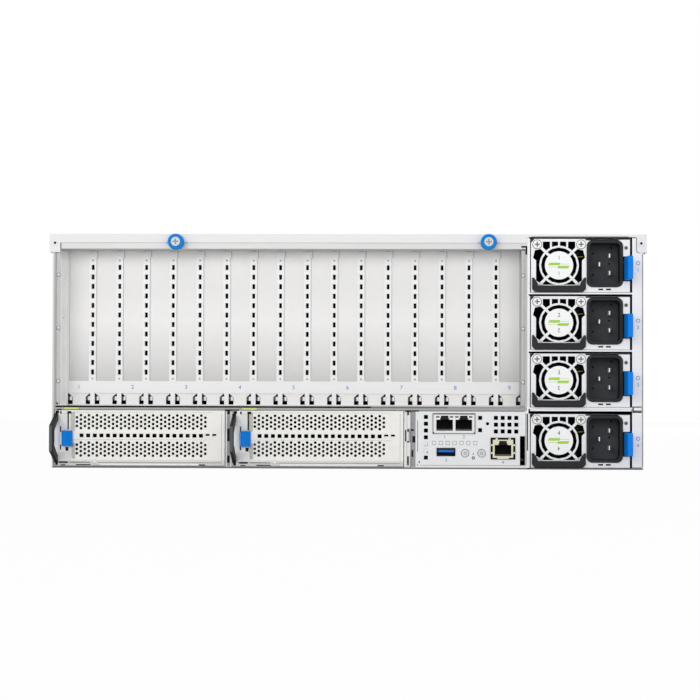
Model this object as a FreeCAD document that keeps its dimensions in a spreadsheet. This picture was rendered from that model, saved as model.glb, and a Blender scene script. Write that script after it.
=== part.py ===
import FreeCAD, Part
import math
import os

import Sketcher

# A four-unit rack server, seen in the photograph from the rear. Millimetres.
# +Z is up, -Y is the rear with the power supplies, +X is the right of the rear view.
# The origin is the middle of the chassis floor's underside.

SIZES = {
    # Chassis shell and cover
    "body_width": 440.0,
    "body_depth": 800.0,
    "sheet": 1.2,
    "fit_gap": 0.3,
    "top_space": 3.3,
    "rail_slot_length": 10.0,
    "rail_slot_height": 6.0,
    "rail_slot_pitch": 300.0,
    "rail_slot_inset": 70.0,
    "rail_slot_level": 62.0,
    "cover_length": 560.0,
    "cover_flange": 13.5,
    "cover_side_gap": 1.2,
    "lip_height": 6.4,
    "lip_over_supplies": 2.0,
    "corner_tab": 8.0,
    # Thumbscrews of the cover
    "screw_left_inset": 92.7,
    "screw_right_inset": 28.6,
    "screw_drop": 6.1,
    "screw_head": 12.0,
    "screw_head_length": 8.0,
    "screw_core": 6.8,
    "screw_core_length": 0.6,
    "screw_cross": 4.4,
    "screw_cross_arm": 1.0,
    "screw_shank": 3.6,
    "screw_shank_length": 9.0,
    "screw_clearance": 0.4,
    "screw_ear": 8.4,
    "screw_ear_drop": 4.0,
    # Recess with the row of expansion slots
    "recess_depth": 26.0,
    "crossbar_drop": 10.9,
    "crossbar_height": 8.4,
    "crossbar_flange": 20.0,
    "slot_pitch": 20.32,
    "slot_margin": 16.5,
    "slot_window": 14.6,
    "slot_throat": 12.0,
    "throat_height": 4.4,
    "window_top_gap": 0.2,
    "label_band": 9.5,
    "tongue_window_width": 16.9,
    "tongue_window_height": 8.3,
    "tongue_window_sill": 1.7,
    "strip_hole_width": 2.4,
    "strip_hole_height": 3.8,
    "strip_hole_pitch": 7.2,
    "strip_hole_inset": 6.5,
    "bracket_foot_left": 6.0,
    "bracket_foot_right": 4.0,
    "blank_width": 18.4,
    "blank_sheet": 0.86,
    "blank_tongue": 9.9,
    "blank_shoulder": 3.6,
    "blank_tab_width": 12.0,
    "blank_tab_length": 10.0,
    "clamp_depth": 8.0,
    "clamp_height": 4.0,
    # Shelf over the lower bay
    "lower_space": 3.5,
    "riser_head_room": 1.6,
    "shelf_lip": 1.2,
    # Power supplies and their cage
    "supply_width": 73.3,
    "supply_height": 39.6,
    "supply_length": 265.0,
    "supply_space": 3.0,
    "supply_left_gap": 1.7,
    "supply_right_gap": 1.7,
    "cage_strip": 7.2,
    "cage_floor_step": 0.3,
    "face_sheet": 1.0,
    "case_sheet": 1.2,
    "core_width": 30.0,
    "core_height": 8.0,
    "core_inset": 25.0,
    "fan_chamber_depth": 30.0,
    "fan_chamber_width": 39.4,
    "grille_x": 20.8,
    "grille_z": 19.9,
    "grille_hub": 21.2,
    "grille_ring": 29.4,
    "grille_ring_width": 1.4,
    "grille_spoke": 2.0,
    "grille_bar": 1.4,
    "grille_top": 17.7,
    "grille_top_half": 12.0,
    "grille_shoulder": 12.6,
    "grille_bulge": 19.3,
    "grille_bulge_level": 5.7,
    "grille_side": 17.0,
    "grille_bottom": 14.4,
    "supply_fan": 36.0,
    "supply_fan_hub": 19.0,
    "supply_fan_depth": 16.0,
    "supply_fan_inset": 3.0,
    "inlet_x": 41.2,
    "inlet_z": 3.7,
    "inlet_width": 27.0,
    "inlet_height": 35.0,
    "inlet_corner": 2.4,
    "inlet_proud": 1.5,
    "inlet_rim": 2.4,
    "inlet_wall": 1.1,
    "inlet_depth": 20.0,
    "inlet_barrel": 23.0,
    "pin_width": 2.0,
    "pin_height": 5.0,
    "pin_length": 15.0,
    "pin_span": 12.9,
    "pin_offset": 7.5,
    "bail_left": 0.8,
    "bail_side_gap": 0.6,
    "bail_height": 10.8,
    "bail_band": 4.9,
    "bail_horn": 4.2,
    "bail_tip": 1.2,
    "bail_corner": 2.2,
    "bail_thickness": 2.6,
    "bail_gap": 0.8,
    "latch_left": 69.0,
    "latch_right": 72.9,
    "latch_low": 8.9,
    "latch_high": 26.0,
    "latch_reach": 22.0,
    "latch_root": 12.0,
    "latch_taper": 1.0,
    "latch_room": 0.7,
    "face_slot_x": 49.9,
    "face_slot_z": 1.5,
    "face_slot_width": 3.7,
    "face_slot_height": 1.2,
    "face_slot_pitch": 5.7,
    "power_board_gap": 8.0,
    "power_board_sheet": 2.4,
    "power_plug_width": 44.0,
    "power_plug_height": 12.0,
    # Riser modules in the lower bay
    "riser_side": 0.8,
    "riser_gap": 5.8,
    "riser_frame": 0.86,
    "riser_sheet": 1.0,
    "riser_depth": 170.0,
    "riser_middle": 22.6,
    "riser_window_left": 11.4,
    "riser_window_right": 8.9,
    "riser_blank_width": 17.4,
    "riser_blank_lap": 1.8,
    "riser_slot_width": 3.0,
    "riser_slot_height": 2.8,
    "riser_slot_pitch": 4.96,
    "riser_vent_width": 7.4,
    "riser_vent_height": 10.6,
    "riser_vent_pitch": 11.85,
    "pull_reach": 28.0,
    "pull_band": 6.0,
    "pull_thickness": 2.8,
    "pull_foot": 2.0,
    "pull_slope": 9.0,
    "release_left": 6.2,
    "release_width": 7.4,
    "release_height": 11.5,
    "release_reach": 7.0,
    "release_slope": 3.6,
    "release_drop": 2.1,
    "divider_flange_gap": 0.5,
    # Connector panel
    "io_width": 85.7,
    "io_foot": 8.0,
    "port_gap": 0.2,
    "port_proud": 0.8,
    "port_depth": 18.0,
    "socket_depth": 13.0,
    "socket_width": 12.3,
    "socket_height": 8.2,
    "socket_key_width": 5.6,
    "socket_key_height": 3.0,
    "socket_sill": 1.9,
    "lan_x": 16.2,
    "lan_z": 26.6,
    "lan_width": 31.0,
    "lan_height": 14.5,
    "lan_socket_inset": 2.4,
    "lan_socket_pitch": 14.2,
    "mgmt_x": 59.6,
    "mgmt_z": 8.0,
    "mgmt_width": 16.9,
    "mgmt_height": 14.9,
    "usb_x": 19.0,
    "usb_z": 9.8,
    "usb_width": 13.6,
    "usb_height": 5.8,
    "usb_shell": 0.7,
    "usb_mouth": 2.4,
    "power_button_x": 40.0,
    "id_button_x": 52.2,
    "button_z": 11.9,
    "button_diameter": 5.4,
    "button_proud": 1.6,
    "button_flange": 7.4,
    "button_length": 4.0,
    "vent_hole": 3.0,
    "vent_pitch": 5.03,
    "vent_x": 10.9,
    "vent_z": 8.5,
    "vent_rows": 7.0,
    "vent_block_x": 62.8,
    "vent_block_z": 28.1,
    "vent_block_columns": 4.0,
    "vent_block_rows": 3.0,
    "vent_pair_x": 51.1,
    "vent_pair_z": 29.0,
    "vent_pair_span": 9.1,
    "spy_hole_x": 56.6,
    "spy_hole_z": 33.8,
    "spy_hole": 2.5,
    "side_slot_x": 80.6,
    "side_slot_z": 3.1,
    "side_slot_width": 3.8,
    "side_slot_height": 21.6,
    # Boards, coolers and memory inside
    "board_level": 6.0,
    "board_sheet": 1.6,
    "board_margin": 2.0,
    "post_diameter": 6.0,
    "lan_card_width": 52.0,
    "lan_card_length": 70.0,
    "sink_x": 60.0,
    "sink_width": 78.0,
    "sink_length": 108.0,
    "sink_base": 6.0,
    "sink_fin": 1.2,
    "sink_fin_pitch": 12.8,
    "sink_pitch": 140.0,
    "sink_front_gap": 70.0,
    "memory_x": 81.0,
    "memory_width": 4.0,
    "memory_length": 140.0,
    "memory_height": 33.0,
    "memory_pitch": 9.0,
    "memory_count": 6.0,
    "gpu_board_gap": 45.0,
    "gpu_board_post": 4.0,
    "gpu_slot_width": 7.5,
    "gpu_slot_length": 89.0,
    "gpu_slot_height": 11.0,
    # Fan wall, front panel and rack ears
    "fan_wall_inset": 200.0,
    "fan_wall_depth": 38.0,
    "fan_diameter": 116.0,
    "fan_hub": 42.0,
    "fan_tip_gap": 2.0,
    "fan_strut": 14.0,
    "fan_strut_depth": 4.0,
    "fan_blade_sheet": 2.4,
    "intake_slot_width": 22.0,
    "intake_slot_height": 134.0,
    "intake_pitch": 33.0,
    "intake_margin": 20.0,
    "ear_flange": 21.3,
    "ear_sheet": 2.0,
    "ear_leg": 40.0,
    "ear_foot": 6.0,
    "ear_head_gap": 3.0,
    "ear_hole_inset": 8.75,
    "ear_hole_pitch": 101.6,
    "ear_slot_width": 6.8,
    "ear_slot_length": 10.2,
    "grip_height": 84.0,
    "grip_reach": 38.0,
    "grip_bar": 8.0,
    "grip_corner": 9.0,
    "grip_offset": 10.0,
}

doc = FreeCAD.newDocument("rack_server")
sheet_object = doc.addObject("Spreadsheet::Sheet", "Sizes")
for row, (name, number) in enumerate(SIZES.items(), start=1):
    sheet_object.set(f"A{row}", name)
    sheet_object.set(f"B{row}", str(number))
    sheet_object.setAlias(f"B{row}", name)
doc.recompute()


class Formula:
    """A number worked out from sheet cells, together with the expression that works it out."""

    def __init__(self, value, text):
        self.value = value
        self.text = text

    def __add__(self, other):
        other = formula(other)
        return Formula(self.value + other.value, f"({self.text} + {other.text})")

    def __sub__(self, other):
        other = formula(other)
        return Formula(self.value - other.value, f"({self.text} - {other.text})")

    def __mul__(self, other):
        other = formula(other)
        return Formula(self.value * other.value, f"({self.text} * {other.text})")

    def __truediv__(self, other):
        other = formula(other)
        return Formula(self.value / other.value, f"({self.text} / {other.text})")

    def __neg__(self):
        return Formula(-self.value, f"(0 - {self.text})")

    def __radd__(self, other):
        return formula(other) + self

    def __rsub__(self, other):
        return formula(other) - self

    def __rmul__(self, other):
        return formula(other) * self


def formula(item):
    if isinstance(item, Formula):
        return item
    return Formula(float(item), repr(float(item)))


def larger(one, other):
    return Formula(max(one.value, other.value), f"max({one.text}; {other.text})")


def whole(item):
    return Formula(math.floor(item.value), f"floor({item.text})")


class SheetSizes:
    """Each alias of the sheet as an attribute that can be reckoned with."""

    def __getattr__(self, name):
        return Formula(SIZES[name], f"Sizes.{name}")


size = SheetSizes()

# Counts of what repeats, and the sides of the prisms that stand for small round forms
UPPER_SUPPLIES = 3
FANS = 3
BLADES = 5
FINE, MIDDLE, COARSE = 16, 12, 8
HEXAGON = 6

# Planes and levels that several pieces share
HALF = size.body_width / 2
INNER = HALF - size.sheet
REAR = -size.body_depth / 2
FRONT = size.body_depth / 2
FLOOR = size.sheet
SUPPLY_BASE = FLOOR + size.fit_gap
RISER_HEIGHT = 2 * size.slot_pitch + size.riser_frame
LOWER_TOP = SUPPLY_BASE + larger(
    size.supply_height + size.lower_space, RISER_HEIGHT + size.riser_head_room)
SHELF_TOP = LOWER_TOP + size.sheet
SHELF_LIP_LOW = LOWER_TOP - size.shelf_lip
SUPPLY_PITCH = size.supply_height + size.supply_space
UPPER_FLOOR = LOWER_TOP + size.cage_floor_step + size.sheet
TOP = UPPER_FLOOR + size.fit_gap + UPPER_SUPPLIES * SUPPLY_PITCH - size.supply_space + size.top_space
RIM = TOP - size.sheet
CAGE_RIGHT = INNER - size.cage_strip
SUPPLY_LEFT = CAGE_RIGHT - size.supply_right_gap - size.supply_width
CAGE_LEFT = SUPPLY_LEFT - size.supply_left_gap - size.sheet
SCREW_LEFT = size.screw_left_inset - HALF
SCREW_RIGHT = CAGE_LEFT - size.screw_right_inset
SUPPLY_END = REAR + size.supply_length
POWER_BOARD = SUPPLY_END + size.power_board_gap
SLOT_WALL = REAR + size.recess_depth
CROSSBAR_LOW = TOP - size.crossbar_drop
CROSSBAR_HIGH = CROSSBAR_LOW + size.crossbar_height
SLOT_LEDGE = CROSSBAR_LOW + size.sheet
SLOT_FIRST = size.slot_margin - HALF
SLOT_COUNT = whole((CAGE_LEFT - SLOT_FIRST - size.slot_window / 2) / size.slot_pitch) + 1
FAN_WALL = FRONT - size.fan_wall_inset
RISER_LEFT = size.riser_side - INNER
IO_LEFT = CAGE_LEFT - size.io_width
RISER_PITCH = (IO_LEFT - RISER_LEFT) / 2
RISER_WIDTH = RISER_PITCH - size.riser_gap
BOARD_TOP = size.board_level + size.board_sheet


class Circle:
    """A circle of a sketch, by its centre and diameter."""

    def __init__(self, across, up, diameter):
        self.across = formula(across)
        self.up = formula(up)
        self.diameter = formula(diameter)


def rect(left, right, low, high):
    return [(left, low), (right, low), (right, high), (left, high)]


def regular(sides, diameter):
    """Corners of a regular polygon about the sketch's origin."""
    turns = [2 * math.pi * step / sides for step in range(sides)]
    return [(diameter / 2 * math.cos(turn), diameter / 2 * math.sin(turn)) for turn in turns]


def mirrored(corners):
    """A half outline on the right, given from top to bottom, closed by its mirror image."""
    return corners + [(-across, up) for across, up in reversed(corners)]


def shifted(corners, across, up):
    return [(across + a, up + b) for a, b in corners]


def dimension(sketch, kind, geometry, point, wanted):
    index = sketch.addConstraint(Sketcher.Constraint(kind, -1, 1, geometry, point, wanted.value))
    sketch.setExpression(f"Constraints[{index}]", wanted.text)


def draw_polygon(sketch, corners):
    """A closed outline whose corners are all dimensioned from the sketch's origin."""
    corners = [(formula(across), formula(up)) for across, up in corners]
    points = [FreeCAD.Vector(across.value, up.value, 0) for across, up in corners]
    first = sketch.GeometryCount
    following = points[1:] + points[:1]
    sketch.addGeometry([Part.LineSegment(start, end) for start, end in zip(points, following)], False)
    last = first + len(points) - 1
    for line in range(first, last + 1):
        after = first if line == last else line + 1
        sketch.addConstraint(Sketcher.Constraint("Coincident", line, 2, after, 1))
    for line, (across, up) in enumerate(corners, start=first):
        dimension(sketch, "DistanceX", line, 1, across)
        dimension(sketch, "DistanceY", line, 1, up)


def draw_circle(sketch, circle):
    centre = FreeCAD.Vector(circle.across.value, circle.up.value, 0)
    curve = Part.Circle(centre, FreeCAD.Vector(0, 0, 1), circle.diameter.value / 2)
    index = sketch.addGeometry(curve, False)
    dimension(sketch, "DistanceX", index, 3, circle.across)
    dimension(sketch, "DistanceY", index, 3, circle.up)
    wide = sketch.addConstraint(Sketcher.Constraint("Diameter", index, circle.diameter.value))
    sketch.setExpression(f"Constraints[{wide}]", circle.diameter.text)


pieces = []


def new_piece(label, place=None, group=False):
    """An empty body that becomes one node, with its own frame at a place given by formulas."""
    body = doc.addObject("PartDesign::Body", label)
    body.Label = label
    body.AllowCompound = group
    if place is not None:
        for axis, distance in zip("xyz", place):
            body.setExpression(f"Placement.Base.{axis}", formula(distance).text)
    pieces.append(body)
    return body


def origin_part(body, role):
    return next(item for item in body.Origin.OriginFeatures if item.Role == role)


def prism(body, kind, plane, low, high, *outlines):
    """A Pad or a Pocket of outlines on a plane of the body's origin, from one level to another."""
    sketch = body.newObject("Sketcher::SketchObject", "Outline")
    sketch.AttachmentSupport = [(origin_part(body, plane + "_Plane"), "")]
    sketch.MapMode = "FlatFace"
    level = -formula(low) if plane == "XZ" else formula(low)
    sketch.setExpression("AttachmentOffset.Base.z", level.text)
    for outline in outlines:
        if isinstance(outline, Circle):
            draw_circle(sketch, outline)
        else:
            draw_polygon(sketch, outline)
    feature = body.newObject("PartDesign::" + kind, kind)
    feature.Profile = sketch
    feature.setExpression("Length", (formula(high) - low).text)
    feature.Reversed = (plane == "XZ") == (kind == "Pad")
    return feature


def pad(body, plane, low, high, *outlines):
    return prism(body, "Pad", plane, low, high, *outlines)


def pocket(body, plane, low, high, *outlines):
    return prism(body, "Pocket", plane, low, high, *outlines)


def repeat(body, features, axis, count, step, second=None):
    """Copies of features in a row, or in a grid when a second axis, count and step are given."""
    pattern = body.newObject("PartDesign::LinearPattern", "Row")
    pattern.Originals = features
    pattern.Direction = (origin_part(body, axis + "_Axis"), [""])
    pattern.Mode = "Spacing"
    pattern.setExpression("Offset", formula(step).text)
    pattern.setExpression("Occurrences", formula(count).text)
    if second is not None:
        second_axis, second_count, second_step = second
        pattern.Direction2 = (origin_part(body, second_axis + "_Axis"), [""])
        pattern.Mode2 = "Spacing"
        pattern.Spacings2 = [-1.0]
        pattern.setExpression("Offset2", formula(second_step).text)
        pattern.setExpression("Occurrences2", formula(second_count).text)
    body.Tip = pattern


def turn_about(body, features, axis, count):
    """Copies of features spread evenly round an axis of the body's origin."""
    pattern = body.newObject("PartDesign::PolarPattern", "Turned")
    pattern.Originals = features
    pattern.Axis = (origin_part(body, axis + "_Axis"), [""])
    pattern.Angle = 360
    pattern.Occurrences = count
    body.Tip = pattern


# Chassis shell, cover and the frame round the recess

def chassis_pan():
    """Floor and side walls in one bent sheet, with hook slots for the slide rails."""
    body = new_piece("chassis_pan")
    pad(body, "XZ", REAR, FRONT, [
        (-HALF, 0), (HALF, 0), (HALF, RIM), (INNER, RIM),
        (INNER, FLOOR), (-INNER, FLOOR), (-INNER, RIM), (-HALF, RIM)])
    first = REAR + size.rail_slot_inset
    room = size.body_depth - 2 * size.rail_slot_inset
    level, tall = size.rail_slot_level, size.rail_slot_height / 2
    slot = pocket(body, "YZ", -HALF - size.sheet, HALF + size.sheet,
                  rect(first, first + size.rail_slot_length, level - tall, level + tall))
    repeat(body, [slot], "Y", whole(room / size.rail_slot_pitch) + 1, size.rail_slot_pitch)


def cover_section():
    inside = HALF + size.cover_side_gap
    outside = inside + size.sheet
    hem = TOP - size.cover_flange
    return [(-outside, hem), (-inside, hem), (-inside, RIM), (inside, RIM),
            (inside, hem), (outside, hem), (outside, TOP), (-outside, TOP)]


COVER_SPLIT = REAR + size.cover_length
SCREW_LEVEL = TOP - size.screw_drop
SCREW_HOLE = size.screw_shank + 2 * size.screw_clearance


def front_cover():
    body = new_piece("front_cover")
    pad(body, "XZ", COVER_SPLIT, FRONT, cover_section())


def screw_holes():
    hole = regular(COARSE, SCREW_HOLE)
    return [shifted(hole, across, SCREW_LEVEL) for across in (SCREW_LEFT, SCREW_RIGHT)]


def top_cover():
    """The sliding rear cover: its rear lip hangs over the crossbar, with a tab at each corner."""
    body = new_piece("top_cover")
    rear_face = REAR - size.sheet
    pad(body, "XZ", rear_face, COVER_SPLIT - size.fit_gap, cover_section())
    outside = HALF + size.cover_side_gap + size.sheet
    tab = outside - size.corner_tab
    hem = TOP - size.cover_flange
    lip = TOP - size.lip_height
    thin_lip = TOP - size.lip_over_supplies
    ear = lip - size.screw_ear_drop
    outline = [(-outside, hem), (-tab, hem), (-tab, lip)]
    for screw in (SCREW_LEFT, SCREW_RIGHT):
        left, right = screw - size.screw_ear / 2, screw + size.screw_ear / 2
        outline += [(left, lip), (left, ear), (right, ear), (right, lip)]
    outline += [(CAGE_LEFT, lip), (CAGE_LEFT, thin_lip), (tab, thin_lip), (tab, hem),
                (outside, hem), (outside, TOP), (-outside, TOP)]
    pad(body, "XZ", rear_face, REAR, outline)
    pocket(body, "XZ", rear_face - size.sheet, REAR, *screw_holes())


def thumbscrew(label, across):
    """A captive screw with a knurled head, a plain end with a cross recess and a shank."""
    body = new_piece(label, (across, REAR - size.sheet - size.fit_gap, SCREW_LEVEL))
    end = -size.screw_head_length
    face = end - size.screw_core_length
    pad(body, "XZ", end, 0, regular(FINE, size.screw_head))
    pad(body, "XZ", face, end, regular(COARSE, size.screw_core))
    pad(body, "XZ", 0, size.screw_shank_length, regular(HEXAGON, size.screw_shank))
    arm, reach = size.screw_cross_arm / 2, size.screw_cross / 2
    cross = [(arm, reach), (arm, arm), (reach, arm), (reach, -arm), (arm, -arm), (arm, -reach)]
    pocket(body, "XZ", face, end, mirrored(cross))


def rear_crossbar():
    body = new_piece("rear_crossbar")
    back, web = REAR + size.crossbar_flange, REAR + size.sheet
    pad(body, "YZ", -INNER, CAGE_LEFT, [
        (REAR, CROSSBAR_LOW), (SLOT_WALL, CROSSBAR_LOW), (SLOT_WALL, SLOT_LEDGE), (web, SLOT_LEDGE),
        (web, CROSSBAR_HIGH - size.sheet), (back, CROSSBAR_HIGH - size.sheet),
        (back, CROSSBAR_HIGH), (REAR, CROSSBAR_HIGH)])
    pocket(body, "XZ", REAR - size.sheet, web + size.sheet, *screw_holes())


TONGUE_LOW = SHELF_TOP + size.tongue_window_sill
TONGUE_HIGH = TONGUE_LOW + size.tongue_window_height
WINDOW_LOW = TONGUE_HIGH + size.label_band
WINDOW_HIGH = CROSSBAR_LOW - size.window_top_gap
THROAT_LOW = WINDOW_HIGH - size.throat_height


def slot_wall():
    """The perforated wall at the back of the recess: slot windows with pierced strips between."""
    body = new_piece("slot_wall")
    back = SLOT_WALL + size.sheet
    pad(body, "XZ", SLOT_WALL, back, rect(-INNER, CAGE_LEFT, SHELF_TOP, SLOT_LEDGE))
    before, behind = SLOT_WALL - size.sheet, back + size.sheet
    half, throat = size.slot_window / 2, size.slot_throat / 2
    window = mirrored([(throat, WINDOW_HIGH), (throat, THROAT_LOW), (half, THROAT_LOW), (half, WINDOW_LOW)])
    windows = pocket(body, "XZ", before, behind, shifted(window, SLOT_FIRST, 0))
    repeat(body, [windows], "X", SLOT_COUNT, size.slot_pitch)
    reach = size.tongue_window_width / 2
    tongue = pocket(body, "XZ", before, behind,
                    rect(SLOT_FIRST - reach, SLOT_FIRST + reach, TONGUE_LOW, TONGUE_HIGH))
    repeat(body, [tongue], "X", SLOT_COUNT, size.slot_pitch)
    strip = SLOT_FIRST + size.slot_pitch / 2
    first = WINDOW_LOW + size.strip_hole_inset
    wide, tall = size.strip_hole_width / 2, size.strip_hole_height / 2
    hole = pocket(body, "XZ", before, behind, rect(strip - wide, strip + wide, first - tall, first + tall))
    rows = whole((THROAT_LOW - first - tall) / size.strip_hole_pitch) + 1
    repeat(body, [hole], "X", SLOT_COUNT - 1, size.slot_pitch, ("Z", rows, size.strip_hole_pitch))


def slot_side_brackets():
    """Angles that tie the slot wall to the left side wall and to the supply cage."""
    body = new_piece("slot_side_brackets", group=True)
    foot = SLOT_WALL - size.sheet
    left, right = -INNER, CAGE_LEFT
    pad(body, "XY", SHELF_TOP, CROSSBAR_LOW,
        [(left, REAR), (left + size.sheet, REAR), (left + size.sheet, foot),
         (left + size.bracket_foot_left, foot), (left + size.bracket_foot_left, SLOT_WALL),
         (left, SLOT_WALL)],
        [(right, REAR), (right, SLOT_WALL), (right - size.bracket_foot_right, SLOT_WALL),
         (right - size.bracket_foot_right, foot), (right - size.sheet, foot),
         (right - size.sheet, REAR)])


def slot_blanks():
    """Cover plates of the empty slots, with tongues below and tabs bent over the ledge."""
    body = new_piece("slot_blanks", group=True)
    face = SLOT_WALL + size.sheet
    back = face + size.blank_sheet
    half, tongue = size.blank_width / 2, size.blank_tongue / 2
    shoulder = TONGUE_HIGH + size.blank_sheet
    tab_top = SLOT_LEDGE + size.blank_sheet
    plate = mirrored([(half, tab_top), (half, shoulder), (tongue, shoulder - size.blank_shoulder),
                      (tongue, TONGUE_LOW - size.blank_sheet)])
    flat = pad(body, "XZ", face, back, shifted(plate, SLOT_FIRST, 0))
    reach = size.blank_tab_width / 2
    tab = pad(body, "XY", SLOT_LEDGE, tab_top,
              rect(SLOT_FIRST - reach, SLOT_FIRST + reach, SLOT_WALL - size.blank_tab_length, back))
    repeat(body, [flat, tab], "X", SLOT_COUNT, size.slot_pitch)


def slot_clamp_bar():
    body = new_piece("slot_clamp_bar")
    low = SLOT_LEDGE + size.blank_sheet
    near, far = SLOT_WALL - size.clamp_depth - size.sheet, SLOT_WALL - size.sheet
    pad(body, "YZ", -INNER + size.sheet, CAGE_LEFT - size.sheet, [
        (near, low), (far, low), (far, low + size.sheet), (near + size.sheet, low + size.sheet),
        (near + size.sheet, low + size.clamp_height), (near, low + size.clamp_height)])


def middle_shelf():
    body = new_piece("middle_shelf")
    web = REAR + size.sheet
    pad(body, "YZ", -INNER, CAGE_LEFT, [
        (REAR, SHELF_LIP_LOW), (web, SHELF_LIP_LOW), (web, LOWER_TOP),
        (FAN_WALL, LOWER_TOP), (FAN_WALL, SHELF_TOP), (REAR, SHELF_TOP)])


def bay_dividers():
    """Flanged walls between the riser modules, from the chassis floor up to the shelf."""
    body = new_piece("bay_dividers", group=True)
    left = RISER_LEFT + RISER_WIDTH + size.divider_flange_gap
    right = RISER_LEFT + RISER_PITCH - size.divider_flange_gap
    web_left = (left + right - size.sheet) / 2
    web_right = web_left + size.sheet
    near, far = REAR + size.sheet, REAR + size.riser_depth
    wall = pad(body, "XY", FLOOR, LOWER_TOP, [
        (left, near), (right, near), (right, near + size.sheet), (web_right, near + size.sheet),
        (web_right, far), (web_left, far), (web_left, near + size.sheet), (left, near + size.sheet)])
    repeat(body, [wall], "X", 2, RISER_PITCH)


def psu_cage():
    """The upright cage of four supply bays, with the numbered strip at its right."""
    body = new_piece("psu_cage", group=True)
    far = POWER_BOARD + size.power_board_sheet
    pad(body, "XZ", REAR, far,
        rect(CAGE_LEFT, CAGE_LEFT + size.sheet, FLOOR, RIM),
        rect(CAGE_RIGHT, CAGE_RIGHT + size.sheet, FLOOR, RIM))
    bay = pad(body, "XZ", REAR, SUPPLY_END,
              rect(CAGE_LEFT, CAGE_RIGHT + size.sheet, UPPER_FLOOR - size.sheet, UPPER_FLOOR))
    repeat(body, [bay], "Z", UPPER_SUPPLIES, SUPPLY_PITCH)
    pad(body, "XZ", REAR, REAR + size.sheet,
        rect(CAGE_RIGHT, INNER, FLOOR, SHELF_LIP_LOW), rect(CAGE_RIGHT, INNER, UPPER_FLOOR, RIM))


# Connector panel and its pieces

def io_panel():
    body = new_piece("io_panel")
    web, foot = REAR + size.sheet, REAR + size.io_foot
    pad(body, "YZ", IO_LEFT, CAGE_LEFT, [
        (REAR, FLOOR), (foot, FLOOR), (foot, FLOOR + size.sheet), (web, FLOOR + size.sheet),
        (web, SHELF_LIP_LOW), (REAR, SHELF_LIP_LOW)])
    before, behind = REAR - size.sheet, web + size.sheet
    gap = size.port_gap
    button_hole = regular(MIDDLE, size.button_diameter + 2 * size.fit_gap)
    pocket(body, "XZ", before, behind,
           port_outline(size.lan_x, size.lan_z, size.lan_width, size.lan_height, gap),
           port_outline(size.mgmt_x, size.mgmt_z, size.mgmt_width, size.mgmt_height, gap),
           port_outline(size.usb_x, size.usb_z, size.usb_width, size.usb_height, gap),
           shifted(button_hole, IO_LEFT + size.power_button_x, size.button_z),
           shifted(button_hole, IO_LEFT + size.id_button_x, size.button_z))
    half = size.vent_hole / 2
    across, up = IO_LEFT + size.vent_x, size.vent_z
    column = pocket(body, "XZ", before, behind, rect(across - half, across + half, up - half, up + half))
    repeat(body, [column], "Z", size.vent_rows, size.vent_pitch)
    across, up = IO_LEFT + size.vent_block_x, size.vent_block_z
    block = pocket(body, "XZ", before, behind, rect(across - half, across + half, up - half, up + half))
    repeat(body, [block], "X", size.vent_block_columns, size.vent_pitch,
           ("Z", size.vent_block_rows, size.vent_pitch))
    across, up = IO_LEFT + size.vent_pair_x, size.vent_pair_z
    pair = pocket(body, "XZ", before, behind, rect(across - half, across + half, up - half, up + half))
    repeat(body, [pair], "Z", 2, size.vent_pair_span)
    left, low = IO_LEFT + size.side_slot_x, size.side_slot_z
    pocket(body, "XZ", before, behind,
           rect(left, left + size.side_slot_width, low, low + size.side_slot_height),
           shifted(regular(MIDDLE, size.spy_hole), IO_LEFT + size.spy_hole_x, size.spy_hole_z))


def port_outline(across, up, width, height, gap=0):
    left = IO_LEFT + across
    return rect(left - gap, left + width + gap, up - gap, up + height + gap)


def socket_outline(left, low):
    """Mouth of a network socket: a rectangle with a keyway above it."""
    middle = left + size.socket_width / 2
    high, key = low + size.socket_height, size.socket_key_width / 2
    half = mirrored([(key, high + size.socket_key_height), (key, high),
                     (size.socket_width / 2, high), (size.socket_width / 2, low)])
    return shifted(half, middle, 0)


def network_ports():
    body = new_piece("network_ports", group=True)
    face = REAR - size.port_proud
    pad(body, "XZ", face, REAR + size.port_depth,
        port_outline(size.lan_x, size.lan_z, size.lan_width, size.lan_height),
        port_outline(size.mgmt_x, size.mgmt_z, size.mgmt_width, size.mgmt_height))
    lan_left = IO_LEFT + size.lan_x + size.lan_socket_inset
    mgmt_left = IO_LEFT + size.mgmt_x + (size.mgmt_width - size.socket_width) / 2
    pocket(body, "XZ", face, REAR + size.socket_depth,
           socket_outline(lan_left, size.lan_z + size.socket_sill),
           socket_outline(lan_left + size.lan_socket_pitch, size.lan_z + size.socket_sill),
           socket_outline(mgmt_left, size.mgmt_z + size.socket_sill))


def usb_port():
    body = new_piece("usb_port")
    face = REAR - size.port_proud
    pad(body, "XZ", face, REAR + size.port_depth,
        port_outline(size.usb_x, size.usb_z, size.usb_width, size.usb_height))
    left, low = IO_LEFT + size.usb_x + size.usb_shell, size.usb_z + size.usb_shell
    right = IO_LEFT + size.usb_x + size.usb_width - size.usb_shell
    pocket(body, "XZ", face, REAR + size.socket_depth, rect(left, right, low, low + size.usb_mouth))


def push_button(label, across):
    """A round cap with a collar that keeps it behind the panel."""
    body = new_piece(label, (IO_LEFT + across, REAR, size.button_z))
    collar = size.sheet + size.fit_gap
    pad(body, "XZ", -size.button_proud, size.button_length, regular(MIDDLE, size.button_diameter))
    pad(body, "XZ", collar, collar + size.sheet, regular(COARSE, size.button_flange))


# Boards, coolers and memory

BOARD_LEFT = -INNER + size.board_margin
BOARD_RIGHT = CAGE_LEFT - size.board_margin
BOARD_REAR = REAR + size.riser_depth + size.post_diameter
BOARD_FRONT = FAN_WALL - size.board_margin
LAN_CARD_LEFT = IO_LEFT + size.lan_x - size.post_diameter


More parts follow.
